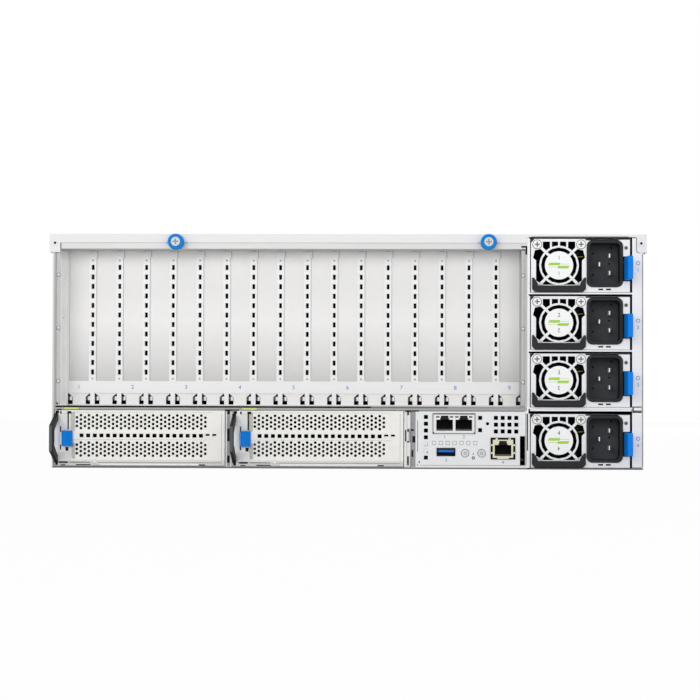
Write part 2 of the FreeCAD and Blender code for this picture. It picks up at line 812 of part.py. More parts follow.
def motherboard():
    body = new_piece("motherboard")
    near = REAR + size.io_foot + size.board_margin
    pad(body, "XY", size.board_level, BOARD_TOP, [
        (IO_LEFT + size.board_margin, near), (BOARD_RIGHT, near), (BOARD_RIGHT, BOARD_FRONT),
        (BOARD_LEFT, BOARD_FRONT), (BOARD_LEFT, BOARD_REAR), (IO_LEFT + size.board_margin, BOARD_REAR)])


def network_card():
    body = new_piece("network_card")
    near = REAR + size.sheet + size.fit_gap
    pad(body, "XY", size.lan_z - size.board_sheet, size.lan_z,
        rect(LAN_CARD_LEFT, LAN_CARD_LEFT + size.lan_card_width, near, near + size.lan_card_length))


def board_standoffs():
    """Hexagonal posts under the main board, and two under the raised network card."""
    body = new_piece("board_standoffs", group=True)
    post = regular(HEXAGON, size.post_diameter)
    first_x, first_y = BOARD_LEFT + size.post_diameter, BOARD_REAR + size.post_diameter
    step_x = (BOARD_RIGHT - first_x - size.post_diameter) / 2
    step_y = BOARD_FRONT - first_y - size.post_diameter
    floor_post = pad(body, "XY", FLOOR, size.board_level, shifted(post, first_x, first_y))
    repeat(body, [floor_post], "X", 3, step_x, ("Y", 2, step_y))
    across = LAN_CARD_LEFT + size.post_diameter
    far = REAR + size.lan_card_length - size.post_diameter
    span = size.lan_card_width - 2 * size.post_diameter
    pad(body, "XY", BOARD_TOP, size.lan_z - size.board_sheet,
        shifted(post, across, far), shifted(post, across + span, far))


SINK_LEFT = -INNER + size.sink_x
SINK_FRONT = FAN_WALL - size.sink_front_gap


def cpu_heatsinks():
    body = new_piece("cpu_heatsinks", group=True)
    base_top = BOARD_TOP + size.sink_base
    near = SINK_FRONT - size.sink_length
    base = pad(body, "XY", BOARD_TOP, base_top,
               rect(SINK_LEFT, SINK_LEFT + size.sink_width, near, SINK_FRONT))
    repeat(body, [base], "X", 2, size.sink_pitch)
    fin = pad(body, "XY", base_top, LOWER_TOP - size.sheet,
              rect(SINK_LEFT, SINK_LEFT + size.sink_fin, near, SINK_FRONT))
    fins = whole((size.sink_width - size.sink_fin) / size.sink_fin_pitch) + 1
    repeat(body, [fin], "X", fins, size.sink_fin_pitch, ("X", 2, size.sink_pitch))


def memory_modules():
    body = new_piece("memory_modules", group=True)
    left = SINK_LEFT + size.memory_x
    near = SINK_FRONT - size.memory_length
    module = pad(body, "XY", BOARD_TOP, BOARD_TOP + size.memory_height,
                 rect(left, left + size.memory_width, near, SINK_FRONT))
    repeat(body, [module], "X", size.memory_count, size.memory_pitch, ("X", 2, size.sink_pitch))


def gpu_board():
    """The board of expansion connectors that stands on the shelf, one connector per double slot."""
    body = new_piece("gpu_board")
    low = SHELF_TOP + size.gpu_board_post
    high = low + size.board_sheet
    left, right = -INNER + size.board_margin, CAGE_LEFT - size.board_margin
    near, far = SLOT_WALL + size.gpu_board_gap, FAN_WALL - size.board_margin
    pad(body, "XY", low, high, rect(left, right, near, far))
    foot = size.post_diameter
    post = pad(body, "XY", SHELF_TOP, low, rect(left, left + foot, near, near + foot))
    repeat(body, [post], "X", 3, (right - left - foot) / 2, ("Y", 2, far - near - foot))
    middle = SLOT_FIRST + size.slot_pitch / 2
    half = size.gpu_slot_width / 2
    slot = pad(body, "XY", high, high + size.gpu_slot_height,
               rect(middle - half, middle + half, near + foot, near + foot + size.gpu_slot_length))
    repeat(body, [slot], "X", whole(SLOT_COUNT / 2), 2 * size.slot_pitch)


def supply_levels():
    """Underside of each supply, from the top one down."""
    upper = [UPPER_FLOOR + size.fit_gap + step * SUPPLY_PITCH for step in reversed(range(UPPER_SUPPLIES))]
    return upper + [SUPPLY_BASE]


def power_board():
    body = new_piece("power_board")
    left, right = CAGE_LEFT + size.sheet, CAGE_RIGHT
    pad(body, "XZ", POWER_BOARD, POWER_BOARD + size.power_board_sheet,
        rect(left, right, FLOOR, RIM - size.sheet))
    middle = SUPPLY_LEFT + size.supply_width / 2
    reach = size.power_plug_width / 2
    lift = (size.supply_height - size.power_plug_height) / 2
    plugs = [rect(middle - reach, middle + reach, level + lift, level + lift + size.power_plug_height)
             for level in supply_levels()]
    pad(body, "XZ", SUPPLY_END + size.fit_gap, POWER_BOARD, *plugs)


# Power supplies, each built in its own frame at the lower left corner of its face

def supply_case(label, place):
    """The supply's shell, open at its far end: fan chamber, pierced face, inlet well and latch notch."""
    body = new_piece(label, place)
    width, height, plate = size.supply_width, size.supply_height, size.face_sheet
    pad(body, "XZ", 0, size.supply_length, rect(0, width, 0, height))
    wall = size.case_sheet
    pocket(body, "XZ", plate, size.fan_chamber_depth,
           rect(wall, wall + size.fan_chamber_width, wall, height - wall))
    inside = size.fan_chamber_depth + wall
    pocket(body, "XZ", inside, size.supply_length, rect(wall, width - wall, wall, height - wall))
    board = height / 2 + size.board_sheet / 2
    pad(body, "XZ", inside, size.supply_length, rect(wall, width - wall, board - size.board_sheet, board))
    left = (width - size.core_width) / 2
    pad(body, "XZ", inside + size.core_inset, size.supply_length - size.core_inset,
        rect(left, left + size.core_width, board, board + size.core_height))
    rim = size.inlet_rim / 2
    pocket(body, "XZ", 0, size.inlet_barrel, inlet_outline(rim))
    room = size.latch_room
    pocket(body, "XZ", 0, size.latch_root + room,
           rect(size.latch_left - room, width, size.latch_low - room, size.latch_high + room))
    half = [(size.grille_top_half, size.grille_top), (size.grille_top_half, size.grille_shoulder),
            (size.grille_bulge - size.grille_bar, size.grille_shoulder - size.grille_bar),
            (size.grille_bulge, size.grille_bulge_level),
            (size.grille_side, size.grille_bulge_level - size.grille_spoke),
            (size.grille_side, -size.grille_shoulder + size.grille_bar),
            (size.grille_top_half, -size.grille_bottom)]
    pocket(body, "XZ", 0, plate, shifted(mirrored(half), size.grille_x, size.grille_z))
    fan_guard(body)
    left, low = size.face_slot_x, size.face_slot_z
    slot = pocket(body, "XZ", 0, plate,
                  rect(left, left + size.face_slot_width, low, low + size.face_slot_height))
    repeat(body, [slot], "X", 2, size.face_slot_pitch)


def fan_guard(body):
    """Ring, hub disc, crossed spokes and upright bars left standing in the face's fan opening."""
    plate, x, z = size.face_sheet, size.grille_x, size.grille_z
    ring = size.grille_ring
    bar = size.grille_bar / 2
    high = z + size.grille_top
    bars = [rect(x + step * size.grille_top_half / 2 - bar, x + step * size.grille_top_half / 2 + bar,
                 z + ring / 2 - size.grille_bar * (1 + abs(step)), high) for step in (-1, 0, 1)]
    pad(body, "XZ", 0, plate, *bars)
    side = size.grille_spoke / 2 * math.sqrt(2)
    far = size.grille_shoulder + size.grille_spoke
    spoke = [(far, far - side), (far, far), (far - side, far),
             (-far, side - far), (-far, -far), (side - far, -far)]
    across = [(-a, b) for a, b in reversed(spoke)]
    for outline in (spoke, across):
        pad(body, "XZ", 0, plate, shifted(outline, x, z))
    inner = ring - 2 * size.grille_ring_width
    pad(body, "XZ", 0, plate, shifted(regular(FINE, ring), x, z), shifted(regular(FINE, inner), x, z))
    pad(body, "XZ", 0, plate, shifted(regular(FINE, size.grille_hub), x, z))


def inlet_outline(inset):
    left, low = size.inlet_x + inset, size.inlet_z + inset
    right = size.inlet_x + size.inlet_width - inset
    return rect(left, right, low, size.inlet_z + size.inlet_height - inset)


def supply_inlet(label, place):
    """The mains inlet: a flange with cut corners, a barrel behind it and a socket with three blades."""
    body = new_piece(label, place)
    face = -size.inlet_proud
    left, right = size.inlet_x, size.inlet_x + size.inlet_width
    low, high, cut = size.inlet_z, size.inlet_z + size.inlet_height, size.inlet_corner
    pad(body, "XZ", face, 0, [
        (left + cut, low), (right - cut, low), (right, low + cut), (right, high - cut),
        (right - cut, high), (left + cut, high), (left, high - cut), (left, low + cut)])
    pad(body, "XZ", 0, size.inlet_barrel - size.fit_gap, inlet_outline(size.inlet_rim / 2))
    pocket(body, "XZ", face, size.inlet_depth, inlet_outline(size.inlet_rim))
    middle = size.inlet_x + size.inlet_width / 2
    level = size.inlet_z + size.inlet_height / 2
    wide, tall = size.pin_width / 2, size.pin_height / 2
    right, left = middle + size.pin_offset / 2, middle - size.pin_offset / 2
    pins = [(right, level + size.pin_span / 2), (right, level - size.pin_span / 2), (left, level)]
    pad(body, "XZ", size.inlet_depth - size.pin_length, size.inlet_depth,
        *[rect(across - wide, across + wide, up - tall, up + tall) for across, up in pins])


def supply_handle(label, place):
    """The bail folded against the face: a band with a horn at each end that carries its pivot."""
    body = new_piece(label, place)
    left, right, high = size.bail_left, size.inlet_x - size.bail_side_gap, size.bail_height
    horn, corner, band = size.bail_horn, size.bail_corner, size.bail_band
    half = (right - left) / 2
    outside = [(half, high), (half, corner), (half - corner, 0)]
    inside = [(half - horn, band), (half - horn, high - horn), (half - size.bail_tip, high)]
    profile = mirrored(outside) + mirrored(inside)[len(inside):] + inside
    pad(body, "XZ", -size.bail_gap - size.bail_thickness, -size.bail_gap,
        shifted(profile, left + half, 0))


def supply_latch(label, place):
    """The release tab: a tapered finger piece on a root that turns inside the case."""
    body = new_piece(label, place)
    left, right, taper = size.latch_left, size.latch_right, size.latch_taper
    pad(body, "XY", size.latch_low, size.latch_high, [
        (left, size.latch_root), (left, 0), (left + taper, -size.latch_reach),
        (right + taper, -size.latch_reach), (right + taper, -size.latch_reach / 2),
        (right, 0), (right, size.latch_root)])


def supply_fan(label, place):
    """Rotor of the supply's fan, in a frame on its own axis."""
    body = new_piece(label, place)
    near = size.face_sheet + size.supply_fan_inset
    far = near + size.supply_fan_depth
    motor = size.fan_chamber_depth - size.fit_gap
    blades(body, near, far, motor, size.supply_fan_hub, size.supply_fan, size.face_sheet)


def blades(body, near, far, motor, hub, diameter, thickness):
    """A hub that reaches back to its motor, with slanted blades, about the frame's Y axis."""
    pad(body, "XZ", near, motor, regular(BLADES, hub))
    lean = hub / 4
    root = hub / 2 - thickness
    blade = pad(body, "XY", root, diameter / 2 - thickness, [
        (-lean, near + thickness), (thickness - lean, near + thickness),
        (lean, far - thickness), (lean - thickness, far - thickness)])
    turn_about(body, [blade], "Y", BLADES)


def power_supplies():
    for number, level in enumerate(supply_levels(), start=1):
        place = (SUPPLY_LEFT, REAR, level)
        supply_case(f"psu_{number}_case", place)
        supply_inlet(f"psu_{number}_inlet", place)
        supply_handle(f"psu_{number}_handle", place)
        supply_latch(f"psu_{number}_latch", place)
        supply_fan(f"psu_{number}_fan", (SUPPLY_LEFT + size.grille_x, REAR, level + size.grille_z))


# Riser modules, each built in its own frame at the lower left corner of its face

RISER_LOW = SUPPLY_BASE
RISER_HIGH = RISER_LOW + RISER_HEIGHT
RISER_MIDDLE = RISER_LOW + size.riser_middle
RISER_WINDOW_RIGHT = RISER_WIDTH - size.riser_window_right


def riser_cage(label, place):
    """A tray with a face plate: two windows for the card blanks and a pierced strip between them."""
    body = new_piece(label, place)
    skin = size.riser_sheet
    pad(body, "XZ", 0, skin, rect(0, RISER_WIDTH, RISER_LOW, RISER_HIGH))
    wall = RISER_WIDTH - skin
    pad(body, "XZ", 0, size.riser_depth, [
        (0, RISER_LOW), (RISER_WIDTH, RISER_LOW), (RISER_WIDTH, RISER_HIGH), (wall, RISER_HIGH),
        (wall, RISER_LOW + skin), (skin, RISER_LOW + skin), (skin, RISER_HIGH), (0, RISER_HIGH)])
    left, half = size.riser_window_left, size.slot_window / 2
    lower = RISER_MIDDLE - size.slot_pitch / 2
    window = pocket(body, "XZ", 0, skin, rect(left, RISER_WINDOW_RIGHT, lower - half, lower + half))
    repeat(body, [window], "Z", 2, size.slot_pitch)
    count = whole((RISER_WINDOW_RIGHT - left) / size.riser_slot_pitch)
    spare = RISER_WINDOW_RIGHT - left - count * size.riser_slot_pitch
    first = left + spare / 2 + size.riser_slot_pitch * 1.5
    wide, tall = size.riser_slot_width / 2, size.riser_slot_height / 2
    slot = pocket(body, "XZ", 0, skin,
                  rect(first - wide, first + wide, RISER_MIDDLE - tall, RISER_MIDDLE + tall))
    repeat(body, [slot], "X", count, size.riser_slot_pitch)


def riser_blanks(label, place):
    """Two pierced cover plates behind the windows, each with a row of upright vents."""
    body = new_piece(label, place, group=True)
    face = size.riser_sheet
    back = face + size.blank_sheet
    left, right = size.riser_window_left - size.riser_blank_lap, RISER_WINDOW_RIGHT + size.riser_blank_lap
    half = size.riser_blank_width / 2
    lower = RISER_MIDDLE - size.slot_pitch / 2
    plate = pad(body, "XZ", face, back, rect(left, right, lower - half, lower + half))
    repeat(body, [plate], "Z", 2, size.slot_pitch)
    wide, tall = size.riser_vent_width / 2, size.riser_vent_height / 2
    count = whole((RISER_WINDOW_RIGHT - size.riser_window_left) / size.riser_vent_pitch)
    spare = RISER_WINDOW_RIGHT - size.riser_window_left - count * size.riser_vent_pitch
    first = size.riser_window_left + (spare + size.riser_vent_pitch) / 2
    vent = pocket(body, "XZ", face, back, rect(first - wide, first + wide, lower - tall, lower + tall))
    repeat(body, [vent], "X", count, size.riser_vent_pitch, ("Z", 2, size.slot_pitch))


def riser_handle(label, place):
    """The pull: a flat arch that stands out from the left end of the face."""
    body = new_piece(label, place)
    low, high = RISER_LOW + size.pull_foot, RISER_HIGH - size.pull_foot
    slope, band, reach = size.pull_slope, size.pull_band, size.pull_reach
    pad(body, "YZ", 0, size.pull_thickness, [
        (0, low), (-reach, low + slope), (-reach, high - slope), (0, high),
        (0, high - band), (band - reach, high - slope - band), (band - reach, low + slope + band),
        (0, low + band)])


def riser_latch(label, place):
    """The sliding release beside the windows, with a sloped thumb face."""
    body = new_piece(label, place)
    left, right = size.release_left, size.release_left + size.release_width
    reach, slope, gap = size.release_reach, size.release_slope, size.fit_gap
    low = RISER_MIDDLE - size.release_drop - size.release_height / 2
    pad(body, "XY", low, low + size.release_height, [
        (left, -gap), (left, -reach), (right - slope, -reach), (right, slope - reach), (right, -gap)])


def riser_modules():
    for side, step in (("left", 0), ("right", 1)):
        place = (RISER_LEFT + step * RISER_PITCH, REAR, 0)
        riser_cage(f"riser_{side}_cage", place)
        riser_blanks(f"riser_{side}_blanks", place)
        riser_handle(f"riser_{side}_handle", place)
        riser_latch(f"riser_{side}_latch", place)


# Fan wall, front panel and rack ears

FAN_PITCH = 2 * INNER / FANS
FAN_FIRST = FAN_PITCH / 2 - INNER
FAN_FAR = FAN_WALL + size.fan_wall_depth


def fan_wall():
    body = new_piece("fan_wall")
    pad(body, "XZ", FAN_WALL, FAN_FAR, rect(-INNER, INNER, FLOOR, RIM - size.sheet))
    opening = size.fan_diameter + 2 * size.fan_tip_gap
    bore = pocket(body, "XZ", FAN_WALL, FAN_FAR, shifted(regular(FINE, opening), FAN_FIRST, TOP / 2))
    repeat(body, [bore], "X", FANS, FAN_PITCH)
    reach, half = opening / 2 + size.fan_tip_gap, size.fan_strut / 2
    strut = pad(body, "XZ", FAN_FAR - size.fan_strut_depth, FAN_FAR,
                rect(FAN_FIRST - reach, FAN_FIRST + reach, TOP / 2 - half, TOP / 2 + half))
    repeat(body, [strut], "X", FANS, FAN_PITCH)


def fan_rotors():
    for step in range(FANS):
        body = new_piece(f"fan_rotor_{step + 1}", (FAN_FIRST + step * FAN_PITCH, FAN_WALL, TOP / 2))
        far = size.fan_wall_depth - size.fan_strut_depth - size.fit_gap
        blades(body, size.fan_blade_sheet, far, far, size.fan_hub, size.fan_diameter, size.fan_blade_sheet)


def front_panel():
    """The intake panel, with a row of upright slots."""
    body = new_piece("front_panel")
    near = FRONT - size.sheet
    pad(body, "XZ", near, FRONT, rect(-INNER, INNER, FLOOR, RIM - size.sheet))
    room = 2 * INNER - 2 * size.intake_margin
    count = whole(room / size.intake_pitch)
    first = (size.intake_pitch - count * size.intake_pitch) / 2
    wide, tall = size.intake_slot_width / 2, size.intake_slot_height / 2
    slot = pocket(body, "XZ", near, FRONT, rect(first - wide, first + wide, TOP / 2 - tall, TOP / 2 + tall))
    repeat(body, [slot], "X", count, size.intake_pitch)


def rack_ear(label, side):
    """A mounting angle with two rack slots and a grip; side is 1 on the right and -1 on the left."""
    body = new_piece(label)
    outer, near, far = HALF + size.ear_flange, FRONT - size.ear_leg, FRONT + size.ear_sheet
    head = TOP - size.cover_flange - size.ear_head_gap
    angle = [(HALF, near), (HALF + size.ear_sheet, near), (HALF + size.ear_sheet, FRONT),
             (outer, FRONT), (outer, far), (HALF, far)]
    pad(body, "XY", size.ear_foot, head, [(side * across, up) for across, up in angle])
    middle = side * (outer - size.ear_hole_inset)
    run = (size.ear_slot_length - size.ear_slot_width) / 2
    low = (TOP - size.ear_hole_pitch) / 2
    half = size.ear_slot_width / 2
    end = pocket(body, "XZ", FRONT, far, Circle(middle - run, low, size.ear_slot_width))
    repeat(body, [end], "X", 2, 2 * run, ("Z", 2, size.ear_hole_pitch))
    straight = pocket(body, "XZ", FRONT, far, rect(middle - run, middle + run, low - half, low + half))
    repeat(body, [straight], "Z", 2, size.ear_hole_pitch)
    grip(body, side)


def grip(body, side):
    """The U-shaped grip in front of an ear, with cut corners."""
    foot = FRONT + size.ear_sheet
    bar, corner, half = size.grip_bar, size.grip_corner, size.grip_height / 2
    end = FRONT + size.grip_reach
    outer = [(foot, half), (end - corner, half), (end, half - corner)]
    inner = [(foot, half - bar), (end - corner, half - bar), (end - bar, half - corner)]
    upper = outer + [(across, -up) for across, up in reversed(outer)]
    lower = inner + [(across, -up) for across, up in reversed(inner)]
    outline = shifted(upper + lower[::-1], 0, TOP / 2)
    middle = side * (HALF + size.grip_offset)
    pad(body, "YZ", middle - bar / 2, middle + bar / 2, outline)


def build():
    chassis_pan()
    front_cover()
    top_cover()
    thumbscrew("thumbscrew_left", SCREW_LEFT)
    thumbscrew("thumbscrew_right", SCREW_RIGHT)
    rear_crossbar()
    slot_wall()
    slot_side_brackets()
    slot_blanks()
    slot_clamp_bar()
    middle_shelf()
    bay_dividers()
    psu_cage()
    io_panel()
    network_ports()
    usb_port()
    push_button("power_button", size.power_button_x)
    push_button("id_button", size.id_button_x)
    motherboard()
    network_card()
    board_standoffs()
    cpu_heatsinks()
    memory_modules()
    gpu_board()
    power_board()
    power_supplies()
    riser_modules()
    fan_wall()
    fan_rotors()
    front_panel()
    rack_ear("rack_ear_left", -1)
    rack_ear("rack_ear_right", 1)


def check_and_write():
    doc.recompute()
    failed = [item.Name for item in doc.Objects if {"Invalid", "Error"} & set(item.State)]
    if failed:
        raise RuntimeError("failed objects: " + ", ".join(failed))
    for piece in pieces:
        if piece.Shape.isNull() or not piece.Shape.isValid():
            raise RuntimeError("bad shape: " + piece.Label)
    os.makedirs("parts", exist_ok=True)
    for piece in pieces:
        piece.Shape.exportStep(os.path.join("parts", piece.Label + ".step"))


build()
check_and_write()
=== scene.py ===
import math

import bmesh
import bpy
from mathutils import Matrix, Vector
from mathutils.geometry import delaunay_2d_cdt


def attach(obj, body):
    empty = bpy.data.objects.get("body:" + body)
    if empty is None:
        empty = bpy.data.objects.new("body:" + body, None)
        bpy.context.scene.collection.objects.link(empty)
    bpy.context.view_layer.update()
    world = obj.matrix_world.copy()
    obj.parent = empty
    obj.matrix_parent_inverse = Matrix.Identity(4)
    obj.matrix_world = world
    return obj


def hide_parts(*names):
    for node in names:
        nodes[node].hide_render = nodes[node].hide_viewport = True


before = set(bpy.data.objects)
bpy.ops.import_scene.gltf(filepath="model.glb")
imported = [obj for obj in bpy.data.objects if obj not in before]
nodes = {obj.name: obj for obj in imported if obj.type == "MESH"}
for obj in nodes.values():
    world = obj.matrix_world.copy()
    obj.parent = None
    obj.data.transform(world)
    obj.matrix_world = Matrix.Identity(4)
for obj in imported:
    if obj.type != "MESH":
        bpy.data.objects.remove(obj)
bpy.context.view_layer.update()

# Sizes are in millimetres in the part's frame: -Y is the rear face that the photograph shows.
MM = 0.001
REAR = -400.0
REAR_EDGE = REAR + 0.1
COVER_FACE = REAR - 1.2
PORT_FACE = REAR - 0.8
BLANK_FACE = REAR + 1.0
BAY_FACE = REAR + 1.2
FLANGE_FACE = REAR + 2.0
SLOT_WALL = -374.0
SLOT_FIRST = -203.5
SLOT_PITCH = 20.32
SLOT_COUNT = 17
SUPPLY_LEFT = 136.6
SUPPLY_LEVELS = {1: 131.6, 2: 89.0, 3: 46.4, 4: 1.5}
SUPPLY_SCREWS = {"left": 4.6, "right": 37.1}
SUPPLY_SCREW_LEVEL = 35.5
RISERS = {"left": -218.0, "right": -85.0}
# Beside each riser's latch: left and right edge of the plate, shift of the column, rise of the lower holes
RISER_PLATES = {"left": (0.2, 3.3, 0.0, 0.0), "right": (3.4, 5.1, 1.5, 0.6)}
SCREWS = {"left": (-127.3, 168.4), "right": (105.1, 168.4)}
REARWARD = (0, -1, 0)
NOISE_LOW, NOISE_HIGH = 0.3, 0.7
GLOSS_SPREAD = 0.05
BUMP_DEPTH = 0.1 * MM


# Materials

def linear(value):
    value /= 255.0
    return value / 12.92 if value <= 0.04045 else ((value + 0.055) / 1.055) ** 2.4


def finish(name, colour, roughness, metallic=0.0, grain=0.02, size=90.0, stretch=(1, 1, 1),
           bump=0.0, specular=0.5, height_shades=None):
    """A material from a screen colour, with a mottle in its colour and gloss and a fine bump.

    The height table lists heights in millimetres, each with the share of the colour that is left there:
    painted shade.
    """
    material = bpy.data.materials.new(name)
    material.use_nodes = True
    tree = material.node_tree
    shader = tree.nodes["Principled BSDF"]
    base = [linear(channel) for channel in colour]
    shader.inputs["Metallic"].default_value = metallic
    shader.inputs["Specular IOR Level"].default_value = specular
    place = tree.nodes.new("ShaderNodeTexCoord")
    mapping = tree.nodes.new("ShaderNodeMapping")
    mapping.inputs["Scale"].default_value = stretch
    noise = tree.nodes.new("ShaderNodeTexNoise")
    noise.inputs["Scale"].default_value = size
    noise.inputs["Detail"].default_value = 6.0
    tones = tree.nodes.new("ShaderNodeValToRGB")
    low, high = tones.color_ramp.elements
    low.position, high.position = NOISE_LOW, NOISE_HIGH
    low.color = (*[channel * (1.0 - grain) for channel in base], 1.0)
    high.color = (*[min(1.0, channel * (1.0 + grain)) for channel in base], 1.0)
    gloss = tree.nodes.new("ShaderNodeMapRange")
    gloss.inputs["From Min"].default_value = NOISE_LOW
    gloss.inputs["From Max"].default_value = NOISE_HIGH
    gloss.inputs["To Min"].default_value = roughness - GLOSS_SPREAD
    gloss.inputs["To Max"].default_value = roughness + GLOSS_SPREAD
    tree.links.new(place.outputs["Object"], mapping.inputs["Vector"])
    tree.links.new(mapping.outputs["Vector"], noise.inputs["Vector"])
    tree.links.new(noise.outputs["Fac"], tones.inputs["Fac"])
    tree.links.new(noise.outputs["Fac"], gloss.inputs["Value"])
    tree.links.new(gloss.outputs["Result"], shader.inputs["Roughness"])
    tone = tones.outputs["Color"]
    if height_shades:
        tone = faded(tree, place, tone, height_shades)
    tree.links.new(tone, shader.inputs["Base Color"])
    if bump:
        relief = tree.nodes.new("ShaderNodeBump")
        relief.inputs["Strength"].default_value = bump
        relief.inputs["Distance"].default_value = BUMP_DEPTH
        tree.links.new(noise.outputs["Fac"], relief.inputs["Height"])
        tree.links.new(relief.outputs["Normal"], shader.inputs["Normal"])
    return material


def faded(tree, place, tone, height_shades):
    """The tone, weaker at some heights: painted shade, standing in for the shading of the sheet near its
    bends and ends.
    """
    low, high = height_shades[0][0], height_shades[-1][0]
    axes = tree.nodes.new("ShaderNodeSeparateXYZ")
    along = tree.nodes.new("ShaderNodeMapRange")
    along.inputs["From Min"].default_value = low * MM
    along.inputs["From Max"].default_value = high * MM
    shares = tree.nodes.new("ShaderNodeValToRGB")
    stops = shares.color_ramp.elements
    for height, _ in height_shades[1:-1]:
        stops.new((height - low) / (high - low))
    for stop, (_, share) in zip(stops, height_shades):
        stop.color = (share, share, share, 1.0)
    mix = tree.nodes.new("ShaderNodeMixRGB")
    mix.blend_type = "MULTIPLY"
    mix.inputs["Fac"].default_value = 1.0
    tree.links.new(place.outputs["Object"], axes.inputs[0])
    tree.links.new(axes.outputs["Z"], along.inputs["Value"])
    tree.links.new(along.outputs["Result"], shares.inputs["Fac"])
    tree.links.new(tone, mix.inputs["Color1"])
    tree.links.new(shares.outputs["Color"], mix.inputs["Color2"])
    return mix.outputs["Color"]


BRUSHED = (0.2, 1, 6)
ROLLED = {"stretch": BRUSHED, "bump": 0.02}
MOULDED = {"grain": 0.08, "size": 900.0, "bump": 0.25, "specular": 0.15}
PAINT = {"grain": 0.04, "size": 400.0, "specular": 0.2}
zinc = finish("zinc_steel", (222, 222, 222), 0.4, 0.3, **ROLLED)
# Painted shade: the slot wall a little darker near its top, under the crossbar.
wall_painted_shade = ((45.0, 1.0), (156.0, 1.0), (165.0, 0.92))
wall_steel = finish("slot_wall_steel", (238, 238, 238), 0.4, 0.2, height_shades=wall_painted_shade, **ROLLED)
cover_steel = finish("cover_steel", (246, 246, 246), 0.55, 0.15, stretch=BRUSHED, bump=0.03, specular=0.25)
panel_steel = finish("panel_steel", (230, 231, 232), 0.4, 0.25, **ROLLED)
bar_steel = finish("bar_steel", (208, 208, 207), 0.4, 0.3, **ROLLED)
# Painted shade: the slot blanks darker at some heights, most just above their foot, as the light falls
# across them.
blank_painted_shade = ((45.0, 1.0), (60.0, 1.0), (66.0, 0.72), (84.0, 0.86),
              (110.0, 1.0), (134.0, 0.94), (152.0, 0.95), (164.0, 1.0))
blank_steel = finish("slot_blank_steel", (238, 237, 236), 0.42, 0.2, grain=0.03, size=60.0, bump=0.03,
                     height_shades=blank_painted_shade)
# Painted shade: the riser plates darker towards their foot.
riser_painted_shade = ((1.5, 0.7), (4.6, 0.74), (6.6, 1.0), (44.0, 1.0))
riser_steel = finish("riser_steel", (237, 236, 232), 0.42, 0.25, grain=0.03, size=160.0, bump=0.03,
                     height_shades=riser_painted_shade)
face_steel = finish("supply_steel", (232, 233, 235), 0.38, 0.25, **ROLLED)
bracket_steel = finish("bracket_steel", (240, 240, 240), 0.45, 0.1, stretch=BRUSHED)
shade_steel = finish("shadowed_steel", (172, 172, 171), 0.45, 0.4, grain=0.05)
# Painted shade: a darker copy of the steel for the front edges of the middle shelf and the left slot
# bracket.
shaded_edge_steel = finish("shaded_edge_steel", (162, 162, 160), 0.45, 0.3, **ROLLED)
strip_steel = finish("strip_steel", (240, 240, 242), 0.4, 0.2, **ROLLED)
divider_steel = finish("divider_steel", (206, 206, 204), 0.45, 0.3, grain=0.05)
# Painted shade: grey for the shade in gaps and recesses and along lips, folds and foot lines.
gap_shade_steel = finish("gap_shade_steel", (150, 149, 152), 0.5, 0.3, grain=0.08)
# Painted shade: the shaded left edge of each riser's perforated bank.
bank_shade_steel = finish("bank_shade_steel", (190, 188, 180), 0.45, 0.25, grain=0.04, size=160.0)
# Painted shade: a darker copy of the steel for the flanges, the right side and the right end of the recess.
recess_shade_steel = finish("recess_shade_steel", (190, 190, 189), 0.45, 0.25, grain=0.04)
# Painted light: a lighter copy of the steel for the left side of the recess and the slot brackets.
lit_side_steel = finish("lit_side_steel", (246, 246, 246), 0.32, 0.6, grain=0.02)
# Dark grey for joint lines, and painted shade: shadow lines along edges and gaps, dark rings round heads
# and dark screw recesses.
joint_and_shade_grey = finish("joint_and_shade_grey", (112, 112, 112), 0.5, 0.3, grain=0.06)
# Dark grey for the network lamps, and painted shade inside the supply cage.
bay_shade_and_lamp_grey = finish("bay_shade_and_lamp_grey", (84, 85, 87), 0.5, 0.4, grain=0.06)
bright = finish("bright_metal", (206, 207, 210), 0.45, 0.3, grain=0.04, size=300.0)
pin_metal = finish("pin_metal", (232, 232, 230), 0.35, 0.3, grain=0.03, size=300.0)
rivet = finish("rivet_metal", (205, 205, 206), 0.32, 0.6, grain=0.04, size=300.0)
blue = finish("blue_plastic", (0, 142, 232), 0.5, **MOULDED)
latch_blue = finish("latch_blue", (0, 140, 252), 0.5, **MOULDED)
ink_blue = finish("printed_blue", (66, 134, 212), 0.6, **PAINT)
# Dark grey for print and the supply lamp lenses, and painted shade in gaps, grooves and rings round the
# buttons.
dark_grey_and_shade = finish("dark_grey_and_shadow", (92, 92, 96), 0.6, **PAINT)
dark = finish("dark_plastic", (46, 47, 50), 0.5, **MOULDED)
# Painted light: the lit copy of the riser pulls' dark plastic.
pull_lit_grey = finish("pull_lit_grey", (98, 98, 100), 0.5, **MOULDED)
black = finish("inlet_black", (44, 45, 48), 0.45, **MOULDED)
# Painted shadow: flat black for the dark inside gaps, holes, slots and hollows.
well = finish("hollow_shadow_black", (12, 12, 13), 0.7, **PAINT)
well_grey = finish("inlet_floor", (84, 86, 90), 0.6, **MOULDED)
